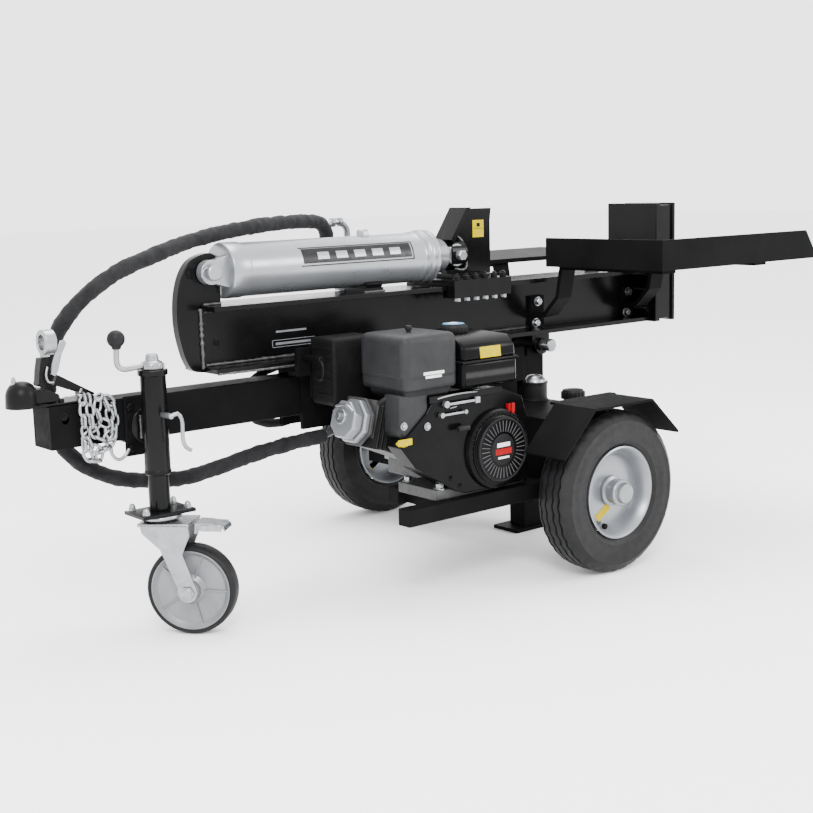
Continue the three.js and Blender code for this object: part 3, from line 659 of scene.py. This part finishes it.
def tyre(side):
    """Profile rows are (radius, half width, in the tread or not); the shoulders are notched."""
    y0 = side * TRACK
    seg = 144
    half = [
        (118, 43, 0), (124, 47, 0), (131, 51, 0), (133, 52, 0), (136, 51.6, 0), (150, 54, 0), (165, 55, 0),
        (178, 53.6, 0), (180, 54.4, 0), (183, 54.2, 0), (185, 52.4, 0), (194, 48, 0), (199, 43, 1),
        (202, 40, 1), (204, 35, 1), (205, 33, 1), (199.5, 32, 1), (199.5, 28, 1), (205.6, 27, 1),
        (206.4, 20, 1), (206.6, 14, 1), (200.5, 13, 1), (200.5, 9, 1), (206.8, 8, 1), (207, 3, 1)]
    prof = [(r, -y, z) for r, y, z in half] + half[::-1]
    s = Shape()
    rings = []
    for i in range(seg):
        a = 2 * math.pi * i / seg
        ring = []
        for r, y, z in prof:
            yy = y0 + y + (zig(i) * 2.2 if z and abs(y) < 34 else 0)
            notched = 38 <= abs(y) <= 44 and r > 195 and i % 4 < 1
            rr = r - 3.2 if notched else r
            ring.append(s.bm.verts.new((AX + rr * math.cos(a), yy, AZ + rr * math.sin(a))))
        rings.append(ring)
    m = len(prof)
    for i in range(seg):
        one, two = rings[i], rings[(i + 1) % seg]
        for k in range(m):
            j = (k + 1) % m
            s.bm.faces.new((one[k], one[j], two[j], two[k]))
    return s


for side, tag in ((-1, "near"), (1, "far")):
    body = "road_wheel_" + tag
    tyre(side).make("tyre_" + tag + "_treaded", body, "tyre", sharp=32, replaces=("tyre_" + tag,))
    y0 = side * TRACK
    prof = [
        (117.4, -48), (117.6, -50.6), (114, -52), (110.5, -50), (108.5, -45), (106, -40), (99, -38),
        (95, -34), (93, -20), (91, -4), (86, 4), (70, 8), (58, 6), (48, 0), (41, -8), (36, -12), (24, -13),
        (24, 12), (36, 14), (60, 14), (84, 14), (94, 10), (98, 20), (101, 34), (106, 40), (110, 48),
        (114, 51), (117.6, 49), (117.4, 46), (112, 34), (104, 8), (104, -8), (112, -34), (117.4, -46)]
    Shape().lathe("y", AX, AZ, [(r, y0 - y) for r, y in prof], 72).make(
        "rim_" + tag, body, "rim", sharp=30, replaces=("wheel_" + tag,))
    hub_profile = [
        (0, 8), (24, 8), (34, 10), (38, 16), (38, 22), (31, 25), (30, 42), (33, 44), (34, 47), (34, 52),
        (31, 55), (27, 56), (26, 58), (26, 64), (24, 68), (18, 70), (0, 70)]
    Shape().lathe("y", AX, AZ, [(r, y0 + side * y) for r, y in hub_profile], 48).make(
        "hub_" + tag, body, "rim", sharp=30)
    ang = math.radians(-112)
    ends = sorted((y0 + side * 20, y0 + side * 30))
    Shape().rod("y", *ends, AX + 92 * math.cos(ang), AZ + 92 * math.sin(ang), 7, 20).make(
        "valve_stem_" + tag, body, "dark")
    tag_turn = Matrix.Translation((AX - 30, 0, AZ - 52)) @ Matrix.Rotation(math.radians(-32), 4, "Y")
    face = y0 - 14.4 if side < 0 else y0 - 13.4
    Shape().box(-26, 26, face - 0.6, face + 0.6, -10, 10, turn=tag_turn).make(
        "rim_sticker_" + tag, body, "yellow", bevel=0.2)

# ---- coupler and chains
outline = [(-1130, -35), (-1130, 35), (-1290, 35)] + arc_pts(BALL_X, 0, 35.6, 80, 280, 20) + [(-1290, -35)]
Shape().prism("z", outline, 532.8, 538).make("coupler_plate", "frame", "satin", bevel=1.6)
(Shape()
    .lathe("z", BALL_X, 0, [
        (26, 533), (34, 533), (35.4, 536), (34.6, 548), (34, 562), (31, 572), (25, 581), (17, 587),
        (8, 589.4), (0, 589.6), (0, 570), (20, 566), (26, 556)], 56)
    .prism("y", [(-1296, 540), (-1228, 540), (-1232, 556), (-1262, 571), (-1290, 571)], -27, 27)
    .make("coupler_dome", "frame", "satin", bevel=2.4, segs=3, replaces=("coupler",)))
(Shape()
    .rod("z", 578, 594, -1322, 0, 5.5, 20)
    .lathe("z", -1322, 0, [(0, 594), (3.5, 594), (4.5, 597), (3.5, 600), (0, 601)], 16)
    .make("coupler_grease_point", "frame", "zinc"))
bolts = Shape()
for x in (-1228, -1158):
    for side_y in (-24, 24):
        bolts.hex("z", 538.4, 546, x, side_y, 8)
bolts.make("coupler_bolts", "frame", "satin", bevel=0.5)
(Shape()
    .prism("y", [
        (-1271, 580), (-1258, 580), (-1251, 610), (-1244, 635.6), (-1262, 635.6), (-1268, 606)], -13.6,
        13.6)
    .rod("y", -15.8, 15.8, -1266, 580, 5.8, 24)
    .make("coupler_lever_black", "coupler_handle", "satin", bevel=1.6, replaces=("coupler_latch",)))
(Shape()
    .ring("x", -1253.6, -1228.4, 0, 668, 17.2, 27.8, 56)
    .box(-1255, -1239, -8.6, 8.6, 636.6, 648)
    .make("coupler_loop_bright", "coupler_handle", "zinc", bevel=1.2, segs=3, replaces=("coupler_loop",)))
(Shape()
    .prism("y", [
        (-1243, 600), (-1234, 594), (-1226, 606), (-1216, 640), (-1203, 664), (-1208, 672), (-1218, 670),
        (-1230, 646), (-1240, 620)], -18, -13)
    .make("coupler_trigger", "coupler_handle", "zinc", bevel=1.2))
(Shape()
    .tube([(-1250, -15, 616), (-1256, -19, 600), (-1252, -20, 584), (-1240, -19, 582)], 2.6, sides=10)
    .make("coupler_clip", "coupler_handle", "zinc"))
Shape().prism("y", [(-1233, 574), (-1224, 596), (-1138, 546), (-1146, 539)], -8, 8).make(
    "coupler_brace", "frame", "satin", bevel=1.5)
# A thin dark sheet just inside the tongue's open front end: painted shade standing for the inside of the
# tube.
Shape().prism("x", [(-40, 440), (40, 440), (40, 530), (-40, 530)], -1264.6, -1259).make(
    "tongue_open_end_shade", "frame", "dark", bevel=2.0)
# Dark discs on the tongue's side: painted shade standing for its two bolt holes.
tongue_hole_shade = Shape()
for x, z in ((-1232, 508), (-1146, 512)):
    tongue_hole_shade.lathe("y", x, z, [
        (0, -41.6), (8, -41.6), (8.6, -42.6), (6.5, -42.4), (6.0, -41.9), (0, -41.9)], 28)
tongue_hole_shade.make("tongue_hole_shade", "frame", "dark")


def chain(name, pts, body, pitch=23.0, wire=3.6, width=9.5, replaces=()):
    """Welded links along a hanging path, every other one turned a quarter."""
    path = smooth_path(pts, pitch / 8)
    marks, run, last = [path[0]], 0.0, path[0]
    for p in path[1:]:
        run += (p - last).length
        last = p
        if run >= pitch:
            marks.append(p)
            run = 0.0
    s = Shape()
    for i in range(len(marks) - 1):
        a, b = marks[i], marks[i + 1]
        d = (b - a).normalized()
        side = d.cross(Vector((0, 1, 0.2))).normalized()
        other = d.cross(side).normalized()
        w = side if i % 2 else other
        mid, half = (a + b) / 2, pitch / 2 + wire * 0.9
        loop = []
        for k in range(12):
            t = 2 * math.pi * k / 12
            c, sn = math.cos(t), math.sin(t)
            reach = math.copysign(half * (abs(c) ** 0.7), c)
            loop.append(mid + d * reach + w * ((width - wire * 0.4) * sn))
        s.tube(loop, wire, sides=8, step=6, closed=True)
    return s.make(name, body, "zinc", sharp=80, replaces=replaces)


def hook(name, x, y, z):
    """A chain's hook hanging from its end link."""
    return Shape().tube([
        (x, y, z), (x - 2, y, z - 14), (x + 8, y, z - 30), (x + 22, y, z - 26), (x + 22, y, z - 8),
        (x + 14, y, z - 2)], 4.5, sides=10).make(name, "frame", "zinc", sharp=80)


chain("chain_near_a", [
    (-1184, -36, 545), (-1192, -56, 530), (-1194, -58, 480), (-1176, -58, 434), (-1150, -58, 424),
    (-1128, -58, 448), (-1120, -58, 500), (-1128, -54, 536), (-1148, -38, 546)], "frame",
    replaces=("safety_chain_near",))
chain("chain_near_b", [
    (-1174, -40, 548), (-1180, -62, 520), (-1178, -66, 474), (-1160, -66, 448), (-1140, -66, 456),
    (-1134, -64, 500), (-1142, -56, 536)], "frame")
chain("chain_near_c", [
    (-1144, -40, 546), (-1156, -56, 540), (-1164, -62, 512), (-1154, -64, 486), (-1138, -64, 480)], "frame")
chain("chain_top", [(-1184, -30, 548), (-1172, 0, 552), (-1158, 30, 548), (-1148, 48, 536)], "frame")
chain("chain_far_a", [
    (-1148, 50, 534), (-1192, 58, 520), (-1190, 58, 480), (-1158, 58, 424), (-1124, 58, 438),
    (-1118, 58, 492), (-1140, 58, 528)], "frame", replaces=("safety_chain_far",))
chain("chain_near_tail", [
    (-1158, -56, 484), (-1176, -56, 472), (-1198, -56, 452), (-1192, -56, 424), (-1170, -56, 398),
    (-1158, -56, 428)], "frame")
hook("chain_hook_near", -1146, -64, 478)
(Shape()
    .tube([
        (-1133, -56, 438), (-1131, -57, 412), (-1118, -58, 399), (-1102, -58, 404), (-1090, -58, 420)], 4,
        sides=10)
    .make("chain_hook_near_low", "frame", "zinc", sharp=80))
hook("chain_hook_far", -1154, 60, 470)

# ---- jack
(Shape()
    .lathe("z", JX, JY, [
        (25, 365), (28, 365), (28.6, 367), (28.6, 584), (33, 586), (33.5, 588), (33.5, 596), (31, 598),
        (8, 598), (0, 598), (0, 575), (24.6, 574)], 56)
    .box(JX - 22, JX + 22, JY + 18, -69, 444, 496)
    .lathe("y", JX, 470, [(0, -70), (38, -70), (40, -68.5), (40, -64), (38, -62.6), (0, -62.6)], 44)
    .rod("y", -70, -42.8, JX, 470, 9.6, 28)
    .make("jack_tube_black", "jack_tube", "gloss", bevel=0.8, replaces=("jack_outer",)))
beads("jack_weld", [(JX - 24, JY + 22, 444), (JX - 24, JY + 22, 496)], 3, "jack_tube")
(Shape()
    .rod("z", 283, 478, JX, JY, 23.8, 44)
    .box(JX - 66, JX + 66, JY - 44, JY + 44, 274.2, 282)
    .make("jack_leg_black", "jack_leg", "gloss", bevel=1.2, replaces=("jack_inner",)))
nuts = Shape()
for dx in (-52, 52):
    for dy in (-32, 32):
        nuts.hex("z", 282, 290, JX + dx, JY + dy, 9)
        nuts.lathe("z", JX + dx, JY + dy, [
            (0, 289.5), (7, 289.5), (6.4, 294), (3.5, 297.5), (0, 298.5)], 20)
nuts.make("jack_base_nuts", "jack_leg", "zinc", bevel=0.4)
(Shape()
    .rod("y", JY - 70, JY - 29.4, JX + 2, 500, 6, 24)
    .tube([
        (JX + 2, JY - 66, 500), (JX + 16, JY - 72, 505), (JX + 24, JY - 74, 492), (JX + 25, JY - 74, 444),
        (JX + 32, JY - 74, 428), (JX + 44, JY - 74, 420)], 4.6, sides=12)
    .make("jack_pin_handle", "jack_pull_pin", "zinc", replaces=("jack_pin",)))
(Shape()
    .lathe("z", JX, JY, [
        (0, 598.5), (24, 598.5), (25, 600), (25, 610), (22, 614), (15, 618), (13, 630), (10, 632),
        (0, 632)], 40)
    .ribs(16, 600, 611, JX, JY, 24.5, 2.6, 10)
    .make("jack_gear_cap", "jack_handle", "zinc", replaces=("jack_crank",)))
(Shape()
    .tube([
        (JX, JY, 606), (JX - 40, JY, 606), (JX - 74, JY, 606), (JX - 84, JY, 616), (JX - 84, JY, 660)], 6.2,
        sides=16)
    .make("jack_crank_rod", "jack_handle", "zinc"))
(Shape()
    .ball(JX - 84, JY, 672, 19.5, 32)
    .lathe("z", JX - 84, JY, [(0, 650), (9, 650), (11, 656), (11, 660), (0, 660)], 28)
    .make("jack_crank_ball", "jack_handle", "plastic"))
(Shape()
    .lathe("z", JX, JY, [
        (24.6, 363.6), (27, 363.4), (29.6, 365.4), (29.6, 372), (28.7, 374), (28.7, 366), (24.6, 364.8)],
        48)
    .make("jack_tube_rim", "jack_tube", "satin"))

# ---- caster
BEHIND = (45, -50)  # the wheel's axle, from the jack's axis
TURN = Matrix.Translation((JX, JY, 0)) @ Matrix.Rotation(math.atan2(BEHIND[1], BEHIND[0]), 4, "Z")
TRAIL = math.hypot(*BEHIND)
fork = Shape()
fork.lathe("z", 0, 0, [
    (0, 273.2), (46, 273.2), (48, 271), (48, 266), (42, 263), (34, 258), (0, 258)], 44, turn=TURN)
fork.box(-40, 78, -46, 46, 252, 259, turn=TURN)
outline = [(-36, 258), (76, 258), (78, 232), (60, 190), (TRAIL + 22, 108)]
outline += arc_pts(TRAIL, CASTER_R, 22, 0, -180, 12) + [(TRAIL - 22, 112), (10, 200), (-30, 236)]
for a, b in ((-46, -41), (41, 46)):
    fork.prism("y", outline, a, b, turn=TURN)
fork.make("caster_fork_zinc", "caster_yoke", "zinc", bevel=1.5, replaces=("caster_fork",))
(Shape()
    .lathe("y", TRAIL, CASTER_R, mirrored([(0, 54), (9, 54), (12, 52), (12, 47), (7.8, 46)]), 24, turn=TURN)
    .lathe("y", TRAIL, CASTER_R, [
        (0, -50.5), (16, -50.5), (17, -49), (17, -46.4), (0, -46.4)], 6, turn=TURN)
    .make("caster_axle", "caster_yoke", "zinc", bevel=0.5))
(Shape()
    .lathe("y", TRAIL, CASTER_R, mirrored([
        (8.6, 35), (18, 35), (22, 33), (24, 20), (34, 13), (78, 13), (84, 18), (88, 22.5), (90.4, 22.5)]),
        64, turn=TURN)
    .make("caster_centre", "caster_roller", "castgrey", sharp=30))
spokes = Shape()
for i in range(5):
    m = TURN @ Matrix.Translation((TRAIL, 0, CASTER_R)) @ Matrix.Rotation(math.radians(72 * i + 20), 4, "Y")
    for s in (-1, 1):
        spokes.prism("z", [
            (-2.5, s * 12.5), (2.5, s * 12.5), (1.6, s * 17), (-1.6, s * 17)][::s], 24, 84, turn=m)
spokes.make("caster_ribs", "caster_roller", "castgrey", bevel=0.8)
(Shape()
    .lathe("y", TRAIL, CASTER_R, mirrored([
        (90.8, 23), (96, 24.5), (99, 22), (101, 18), (102, 10)]), 80, turn=TURN)
    .make("caster_tread_band", "caster_roller", "tread", sharp=40, replaces=("caster_wheel",)))
(Shape()
    .prism("y", [
        (84.5, 233), (88, 233), (90, 250), (112, 252), (150, 246), (154, 239), (156, 241), (152, 250),
        (112, 257), (86, 258)], -28, 28, turn=TURN)
    .box(100, 148, -31, -27.5, 240, 254, turn=TURN)
    .box(100, 148, 27.5, 31, 240, 254, turn=TURN)
    .make("caster_pedal_zinc", "caster_pedal", "zinc", bevel=1.0, replaces=("caster_brake",)))

# ---- engine
keep("engine_block", "cast", 3.0)
keep("fan_shroud", "shroud", 4.0, 3)
keep("pump", "castgrey", 2.0)
keep("muffler", "muffler", 8.0, 3)
Shape().box(-556, -390.6, -380, -208, 532, 643).make(
    "air_cleaner_cover", "frame", "cleaner", bevel=19, segs=5, replaces=("air_cleaner",))
Shape().prism("z", [(-553, -377), (-393, -377), (-393, -211), (-553, -211)], 512, 560).make(
    "air_cleaner_skirt", "frame", "cleaner", bevel=12, segs=4)
(Shape()
    .prism("y", [(-548, 520), (-402, 520), (-406, 502), (-416, 495), (-536, 495), (-546, 503)], -368, -236)
    .make("air_cleaner_base", "frame", "plastic", bevel=6, segs=3))
(Shape()
    .prism("y", [(-562, 506), (-478, 506), (-478, 410), (-494, 402), (-552, 404), (-564, 418)], -368, -306)
    .make("carburettor_cover", "frame", "cleaner", bevel=6, segs=3))
cover_bolts = Shape()
for x, z, y in ((-553, 436, -368), (-488, 428, -374.2)):
    cover_bolts.hex("y", y, y - 7, x, z, 7)
    cover_bolts.rod("y", y - 2, y + 1, x, z, 9.5, 20, 0.5)
cover_bolts.make("carburettor_bolts", "frame", "zinc", bevel=0.4)
(Shape()
    .lathe("z", -480, -305, [
        (0, 640), (6, 640), (6, 648), (8.4, 649.5), (8.8, 653), (7.4, 658), (4.5, 659), (0, 659)], 32)
    .make("air_cleaner_knob", "frame", "plastic"))
Shape().box(-500, -438, -381.2, -379.2, 549, 556).box(-494, -446, -381.2, -379.2, 541, 547).make(
    "cleaner_label", "frame", "white", bevel=0.3)

(Shape()
    .prism("x", [(-386, 504), (-390, 512), (-390, 566), (-156, 566), (-156, 512), (-160, 504)], -387, -211)
    .make("fuel_tank_lower", "frame", "shroud", bevel=9, segs=4, replaces=("fuel_tank",)))
(Shape()
    .prism("x", [(-389, 568), (-385, 602), (-362, 621), (-182, 627), (-156, 606), (-153, 568)], -385, -213)
    .make("fuel_tank_upper", "frame", "shroud", bevel=9, segs=4))
Shape().prism("z", [(-389, -393), (-208, -393), (-208, -150), (-389, -150)], 563.5, 570).make(
    "fuel_tank_seam", "frame", "satin", bevel=2.4)
Shape().prism("x", [(-389.9, 573), (-386.9, 599), (-385.2, 599), (-388.2, 573)], -330, -264).make(
    "tank_label", "frame", "yellow", bevel=0.2)
(Shape()
    .lathe("z", FUEL_X, FUEL_Y, [
        (0, 622), (32, 622), (34, 625), (34, 638), (31, 643), (20, 645), (0, 644)], 56)
    .ribs(20, 625, 638, FUEL_X, FUEL_Y, 33.6, 2.4, 8)
    .make("fuel_cap_black", "tank_cap", "plastic", replaces=("fuel_cap",)))
(Shape()
    .lathe("z", FUEL_X, FUEL_Y, [(0, 644.4), (25, 644.6), (27, 645.6), (24, 646.6), (0, 646.8)], 48)
    .make("fuel_cap_disc", "tank_cap", "blue"))
(Shape()
    .lathe("z", FUEL_X, FUEL_Y, [(0, 646.4), (11, 646.6), (12, 647.2), (10, 647.8), (0, 647.8)], 40)
    .make("fuel_cap_centre", "tank_cap", "white"))

# Fins and the eight-sided rocker cover, on an axis that climbs towards -X.
HEAD = Matrix.Translation((EX - 90, 0, EZ + 12)) @ Matrix.Rotation(math.radians(14), 4, "Y")
fins = Shape()
for i in range(10):
    x = -235 + i * 13
    fins.box(x, x + 5, -312, -174, -34, 66, turn=HEAD)
fins.make("cooling_fins", "frame", "muffler", bevel=1.0)
cy, cz = -243, 22


def octagon(r):
    """The rocker cover's outline, r mm to its corners."""
    corners = [math.radians(22.5 + 45 * i) for i in range(8)]
    return [(cy + r * math.cos(a), cz + r * 0.98 * math.sin(a)) for a in corners]


(Shape()
    .prism("x", octagon(ROCKER_R), -262, -244, turn=HEAD)
    .prism("x", octagon(ROCKER_R * 0.86), -288, -262, turn=HEAD)
    .make("rocker_cover_bright", "frame", "rim", bevel=4.5, segs=3, replaces=("rocker_cover",)))
(Shape()
    .lathe("x", cy + 6, cz + 6, [(0, -292), (17, -292), (19, -290), (19, -286), (0, -286)], 36, turn=HEAD)
    .lathe("x", cy + 6, cz + 6, [(0, -300), (9, -300), (9, -292), (0, -292)], 6, turn=HEAD)
    .tube([
        HEAD @ Vector((-289, -280, 44)), HEAD @ Vector((-290, -250, 56)), HEAD @ Vector((-289, -214, 50))],
        4, sides=8)
    .make("rocker_bolt", "frame", "zinc", bevel=0.6))
Shape().prism("x", octagon(ROCKER_R * 1.12), -248, -240, turn=HEAD).make(
    "rocker_flange", "frame", "cast", bevel=1.2)
(Shape()
    .tube([
        HEAD @ Vector((-236, -300, 70)), HEAD @ Vector((-226, -312, 84)), (-500, -330, 505),
        (-470, -340, 498)], 6, sides=12)
    .make("spark_lead", "frame", "plastic"))
(Shape()
    .prism("y", [
        (EX - 150, EZ - 82), (EX + 60, EZ - 82), (EX + 60, EZ - 20), (EX - 120, EZ + 10),
        (EX - 168, EZ - 30)], -352, -322)
    .make("crankcase_side", "frame", "cast", bevel=6, segs=3))
feet = Shape()
for x in (EX - 160, EX + 84):
    for y in (-346, -230):
        feet.hex("z", 268, 280, x, y, 10)
        feet.rod("z", 264, 269, x, y, 14, 24, 0.5)
feet.hex("y", -362, -374, EX - 148, EZ - 52, 9)
feet.hex("y", -362, -374, EX - 120, EZ - 74, 9)
feet.make("engine_bolts", "frame", "zinc", bevel=0.5)
Shape().box(-582, -542, -384, -381, 394, 409).make("oil_tag", "frame", "yellow", bevel=0.4)
Shape().tube([(-556, -350, 392), (-560, -372, 396), (-560, -384, 401)], 8, sides=16).make(
    "oil_filler", "frame", "yellow")

# Recoil starter, levers and muffler shield.
(Shape()
    .lathe("y", EX, EZ, [
        (0, -392), (62, -392), (76, -393.6), (82, -392), (87, -388), (88, -384), (88, -376), (0, -376)], 72)
    .make("recoil_housing", "frame", "shroud", sharp=40))
(Shape()
    .lathe("y", EX, EZ, [(0, -372), (98, -372), (100, -376), (97, -384), (90, -387), (0, -387)], 72)
    .make("shroud_volute", "frame", "shroud", sharp=30))
# A dark ring behind the starter's grille: painted shade seen through its slots.
Shape().lathe("y", EX, EZ, [(30, -393.2), (74, -394.6), (74, -392.2), (30, -391.8)], 72).make(
    "recoil_slot_shade", "frame", "dark")
ribs = Shape()
ticks = Shape()
for i in range(36):
    m = Matrix.Translation((EX, 0, EZ)) @ Matrix.Rotation(math.radians(10 * i), 4, "Y")
    ticks.box(44, 71, -402.0, -399.4, -1.0, 1.0, turn=m)
ribs.lathe("y", EX, EZ, [(73, -401.6), (76, -402.6), (79, -400), (79, -394), (73, -394)], 72)
ribs.lathe("y", EX, EZ, [(0, -401.2), (35, -401.2), (38, -400.4), (38, -394), (0, -394)], 64)
ribs.make("recoil_grille", "frame", "plastic", bevel=0.5)
ticks.make("recoil_ticks", "frame", "tick", bevel=0.4)
louvres = Shape()
for i in range(15):
    a = math.radians(60 + i * 9)
    louvres.rod("y", -388, -375, EX + 88 * math.cos(a), EZ + 88 * math.sin(a), 2.2, 8)
louvres.make("recoil_louvres", "frame", "plastic")
for tag, half, low, high, mat, bevel in (
        ("white", 21, 7, 17, "white", 0.3),
        ("red", 27, -12, 3, "red", 0.5),
        ("line", 18, -22, -17, "white", 0.2)):
    Shape().box(EX - half, EX + half, -402.4, -401.0, EZ + low, EZ + high).make(
        "recoil_label_" + tag, "frame", mat, bevel=bevel)
(Shape()
    .rod("x", EX - 136, EX - 100, -390, EZ + 67, 7.5, 24, 2.5)
    .rod("y", -388, -376.5, EX - 118, EZ + 67, 4, 14)
    .make("starter_handle", "starter_grip", "plastic", bevel=0.6, replaces=("recoil_grip",)))
(Shape()
    .box(EX + 34, EX + 56, -385.6, -374.6, EZ + 86, EZ + 105)
    .box(EX + 41, EX + 49, -391, -385, EZ + 82, EZ + 108)
    .make("switch_red", "switch", "red", bevel=1.4, segs=3, replaces=("engine_switch",)))
(Shape()
    .box(-440, -336, -386, -381, 471, 477)
    .rod("y", -387.4, -375, -435, 474, 8.6, 24)
    .box(-346, -332, -388, -380, 467, 482)
    .make("throttle_arm", "throttle", "zinc", bevel=0.8, replaces=("throttle_lever",)))
(Shape()
    .box(-452, -378, -386, -381, 447.4, 452.6)
    .rod("y", -387.4, -375, -449, 450, 6.6, 24)
    .rod("y", -388, -380, -376, 450, 5.5, 20)
    .make("choke_arm", "choke", "zinc", bevel=0.6, replaces=("choke_lever",)))
(Shape()
    .tube([(-476, -372, 486), (-430, -376, 492), (-380, -376, 494), (-330, -374, 492)], 2.2, sides=8)
    .tube([(-470, -366, 470), (-420, -372, 462), (-396, -374, 464)], 1.8, sides=8)
    .rod("z", 476, 498, -324, -364, 9, 20)
    .make("governor_links", "frame", "zinc"))
Shape().box(-480, -250, -376, -372, 480, 496).make("control_bracket", "frame", "satin", bevel=0.8)
shield = Shape()
for i in range(7):
    shield.box(-608, -606, -166, -96, 486 + i * 19, 494 + i * 19)
shield.box(-606, -470, -80.4, -79, 480, 610)
shield.make("muffler_shield", "frame", "muffler", bevel=0.8)

# Fittings where the sleeves stop, and the bars on the beam's web.
Shape().tube([(-560, -66, 379), (-540, -66, 384), (-500, -60, 392)], 9, sides=20).make(
    "hose_end_fitting", "frame", "zinc")
(Shape()
    .tube([
        (-502, -60, 392), (-460, -56, 396), (-390, -50, 380), (-330, -44, 366), (-300, -40, 356)], 8.5,
        sides=14)
    .make("hose_end_pipe", "frame", "zinc"))
elbow = Shape()
elbow.tube([
    (-408, 107, 884), (-384, 106, 893), (-358, 108, 890), (-338, 112, 874), (-334, 114, 850)], 8.5,
    sides=16)
for x in (-392, -368):
    elbow.lathe("x", 106, 891.5, [
        (0, x), (12, x), (13, x + 1.5), (13, x + 9), (12, x + 10.5), (0, x + 10.5)], 6)
elbow.make("hose_elbow", "beam_group", "zinc", bevel=0.5)
web_bars = Shape()
for x0, x1, z0, z1 in (
        (-662, -536, 617, 618.6), (-662, -536, 600, 601.6), (-662, -660.4, 600, 618.6),
        (-537.6, -536, 600, 618.6), (-652, -548, 606, 612), (-650, -560, 636, 641)):
    web_bars.box(x0, x1, -5.9, -4.6, z0, z1)
web_bars.make("web_bars", "beam_group", "castgrey", bevel=0.3)
Shape().lathe("y", -820, 627, mirrored([(0, 4), (8.4, 4), (8.7, 3)]), 28).make(
    "web_hole_shadow", "beam_group", "dark")
Shape().lathe("z", -400, 116, [(0, 830), (15, 830), (15, 834), (13, 840), (13, 850), (0, 850)], 6).make(
    "hose_start_fitting", "beam_group", "zinc", bevel=0.6)

# Tongue details.
mount_bolts = Shape()
for x in (-1080, -1012):
    for z in (512, 420):
        mount_bolts.hex("y", -50, -58, x, z, 9)
mount_bolts.make("jack_mount_bolts", "frame", "satin", bevel=0.5)
for tag, z in (("530", 528), ("433", 435)):
    beads("tongue_weld_" + tag, [(-1090, -38, z), (-1090, 38, z)], 3, "frame")

# ---- stage
floor_mesh = bpy.data.meshes.new("floor")
floor_shape = bmesh.new()
bmesh.ops.create_grid(floor_shape, x_segments=1, y_segments=1, size=30)
floor_shape.to_mesh(floor_mesh)
floor_shape.free()
floor = place(bpy.data.objects.new("floor", floor_mesh))
floor_paint = bpy.data.materials.new("floor_white")
floor_paint.use_nodes = True
fill_in(floor_paint.node_tree.nodes["Principled BSDF"], Base_Color=(0.93, 0.93, 0.93, 1), Roughness=0.9)
floor_mesh.materials.append(floor_paint)
floor.location = (0, 0, -0.0005)

world = bpy.data.worlds.new("studio")
bpy.context.scene.world = world
world.use_nodes = True
fill_in(world.node_tree.nodes["Background"], Color=(1, 1, 1, 1), Strength=3.1)


def area(name, at, to, size, power):
    """A soft square light that faces a point."""
    d = bpy.data.lights.new(name, "AREA")
    d.energy = power
    d.size = size
    o = place(bpy.data.objects.new(name, d))
    o.location = at
    o.rotation_mode = "QUATERNION"
    o.rotation_quaternion = (Vector(to) - Vector(at)).to_track_quat("-Z", "Y")


area("key", (-2.6, -3.2, 3.4), (0, 0, 0.5), 1.6, 260)
area("side", (2.8, -3.0, 2.2), (0.3, 0, 0.5), 1.4, 90)
area("top", (0.2, 0.8, 4.0), (0, 0, 0.5), 2.2, 170)
